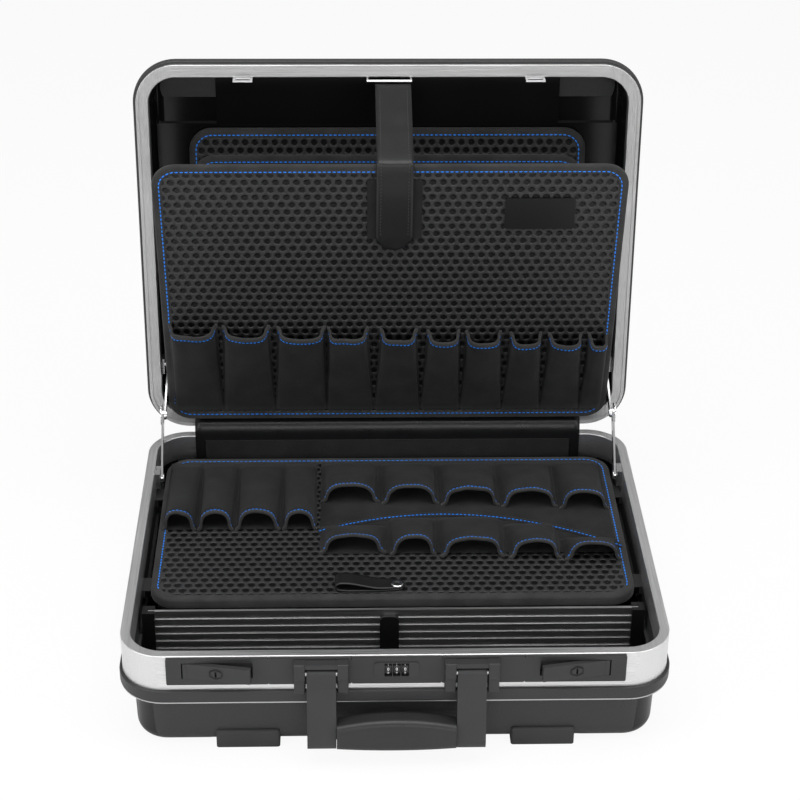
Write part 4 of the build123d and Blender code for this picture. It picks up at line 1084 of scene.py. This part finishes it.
# %% The pull tab
tab_low, tab_high = local_box("pull_tab", base_board_place)
tab_y = (tab_low.y + tab_high.y) / 2
tab_half = (tab_high.y - tab_low.y) / 2
tab_floor = tab_low.z + 0.75
loop_left = tab_low.x + 1.0
loop_top = tab_high.z - 1.2
tab_points = [
    (tab_high.x, tab_floor), (loop_left + 9, tab_floor), (loop_left, tab_floor + 1.5),
    (loop_left + 1, loop_top), (loop_left + 12, loop_top), (tab_high.x - 24, tab_floor + 2.2),
    (tab_high.x, tab_floor + 1.6),
]
tab_path, tab_length = spaced(soft_line(tab_points, 6.0, 6), 61)


def tab_surface(across, along):
    spot = tab_path[round(along * 60)]
    from_end = min(along, 1 - along) * tab_length
    half = tab_half * (0.72 + 0.28 * min(1.0, from_end / 25))
    if from_end < 6:
        half *= math.sqrt(max(1 - (1 - from_end / 6) ** 2, 0.1))
    return Vector((spot.x, tab_y + (across * 2 - 1) * half, spot.y))


bm = bmesh.new()
bend_grid(bm, 8, 60, base_board_place, tab_surface)
tab = thicken(finish_piece("lift_tab", bm, [strap_leather], "tool_board"), 1.3)
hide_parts("pull_tab")
print("pull tab", round(tab_length), "mm of leather")

# %% [markdown]
# ## Small rigid details
# A thin bright bead closes the lower edge of the belt. The dials carry plain numbers, and each key cylinder
# has a painted outline that shows which way it is turned.

# %% The bead under the belt
bead_inset = 1.6
bead_width = 3.0
bead_height = 0.9
bead_corner = 39.0
bead_level = -46.95
belt_low, belt_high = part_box("base_shell")
bead_bm = bmesh.new()
belt_width = (belt_high.x - belt_low.x) / MM
belt_depth = (belt_high.y - belt_low.y) / MM
belt_middle = ((belt_high.y + belt_low.y) / 2 - front_y) / MM
bead_face = round_face(bead_bm, belt_width - bead_inset, belt_depth - bead_inset, (0, belt_middle), bead_corner)
bmesh.ops.inset_region(
    bead_bm, faces=[bead_face], thickness=bead_width, use_even_offset=True, use_boundary=True
)
bmesh.ops.delete(bead_bm, geom=[bead_face], context="FACES")
extruded = bmesh.ops.extrude_face_region(bead_bm, geom=bead_bm.faces[:])
for element in extruded["geom"]:
    if isinstance(element, bmesh.types.BMVert):
        element.co.z -= bead_height
bmesh.ops.recalc_face_normals(bead_bm, faces=bead_bm.faces[:])
bead_bm.transform(Matrix.Translation(at(0, 0, bead_level)) @ Matrix.Scale(MM, 4))
finish_piece("belt_bead", bead_bm, [divider_metal], "case")

# %% Numbers on the dials
digit_height = 0.0036
digit_step = 36
first_digit_turn = 12


def number_mesh(text, height, place):
    """A flat number as a mesh, centred, and moved to its place."""
    curve = bpy.data.curves.new("number", "FONT")
    curve.body = text
    curve.size = height
    curve.align_x = "CENTER"
    curve.align_y = "CENTER"
    curve.extrude = 0.00003
    holder = bpy.data.objects.new("number", curve)
    scene.collection.objects.link(holder)
    bpy.context.view_layer.update()
    mesh = bpy.data.meshes.new_from_object(holder.evaluated_get(bpy.context.evaluated_depsgraph_get()))
    mesh.transform(place)
    bpy.data.objects.remove(holder)
    bpy.data.curves.remove(curve)
    return mesh


for index in (1, 2, 3):
    low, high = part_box("dial_%d" % index)
    centre = (low + high) / 2
    radius = (high.z - low.z) / 2
    bm = bmesh.new()
    for digit in range(10):
        angle = math.radians(first_digit_turn + digit_step * digit)
        turn = Matrix.Rotation(math.radians(90) - angle, 4, "X")
        lift = Matrix.Translation(Vector((0, 0, radius)))
        bm.from_mesh(number_mesh(str(digit), digit_height, Matrix.Translation(centre) @ turn @ lift))
    finish_piece("dial_%d_numbers" % index, bm, [white_print], "dial_%d" % index)

# %% Marks on the key cylinders
mark_reach = 0.0041 + 0.0004
mark_radius = 0.0064
mark_line = 0.0007
for side, name in ((-1, "left"), (1, "right")):
    axis = Vector(joints["key_%s_turn" % name]["axis"])
    low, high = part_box("key_cylinder_" + name)
    centre = (low + high) / 2 + axis * mark_reach
    turn = axis.to_track_quat("Z", "Y").to_matrix().to_4x4()
    bm = bmesh.new()
    bmesh.ops.create_circle(bm, segments=6, radius=mark_radius, cap_ends=True)
    bmesh.ops.scale(bm, vec=(1.0, 0.78, 1.0), verts=bm.verts[:])
    bm.faces.ensure_lookup_table()
    outline_face = bm.faces[0]
    bmesh.ops.inset_region(
        bm, faces=[outline_face], thickness=mark_line, use_even_offset=True, use_boundary=True
    )
    bmesh.ops.delete(bm, geom=[outline_face], context="FACES")
    ring = bmesh.ops.extrude_face_region(bm, geom=bm.faces[:])
    for element in ring["geom"]:
        if isinstance(element, bmesh.types.BMVert):
            element.co.z += 0.00012
    bmesh.ops.recalc_face_normals(bm, faces=bm.faces[:])
    bm.transform(Matrix.Translation(centre) @ turn)
    finish_piece("key_mark_" + name, bm, [mark_paint], "key_" + name)
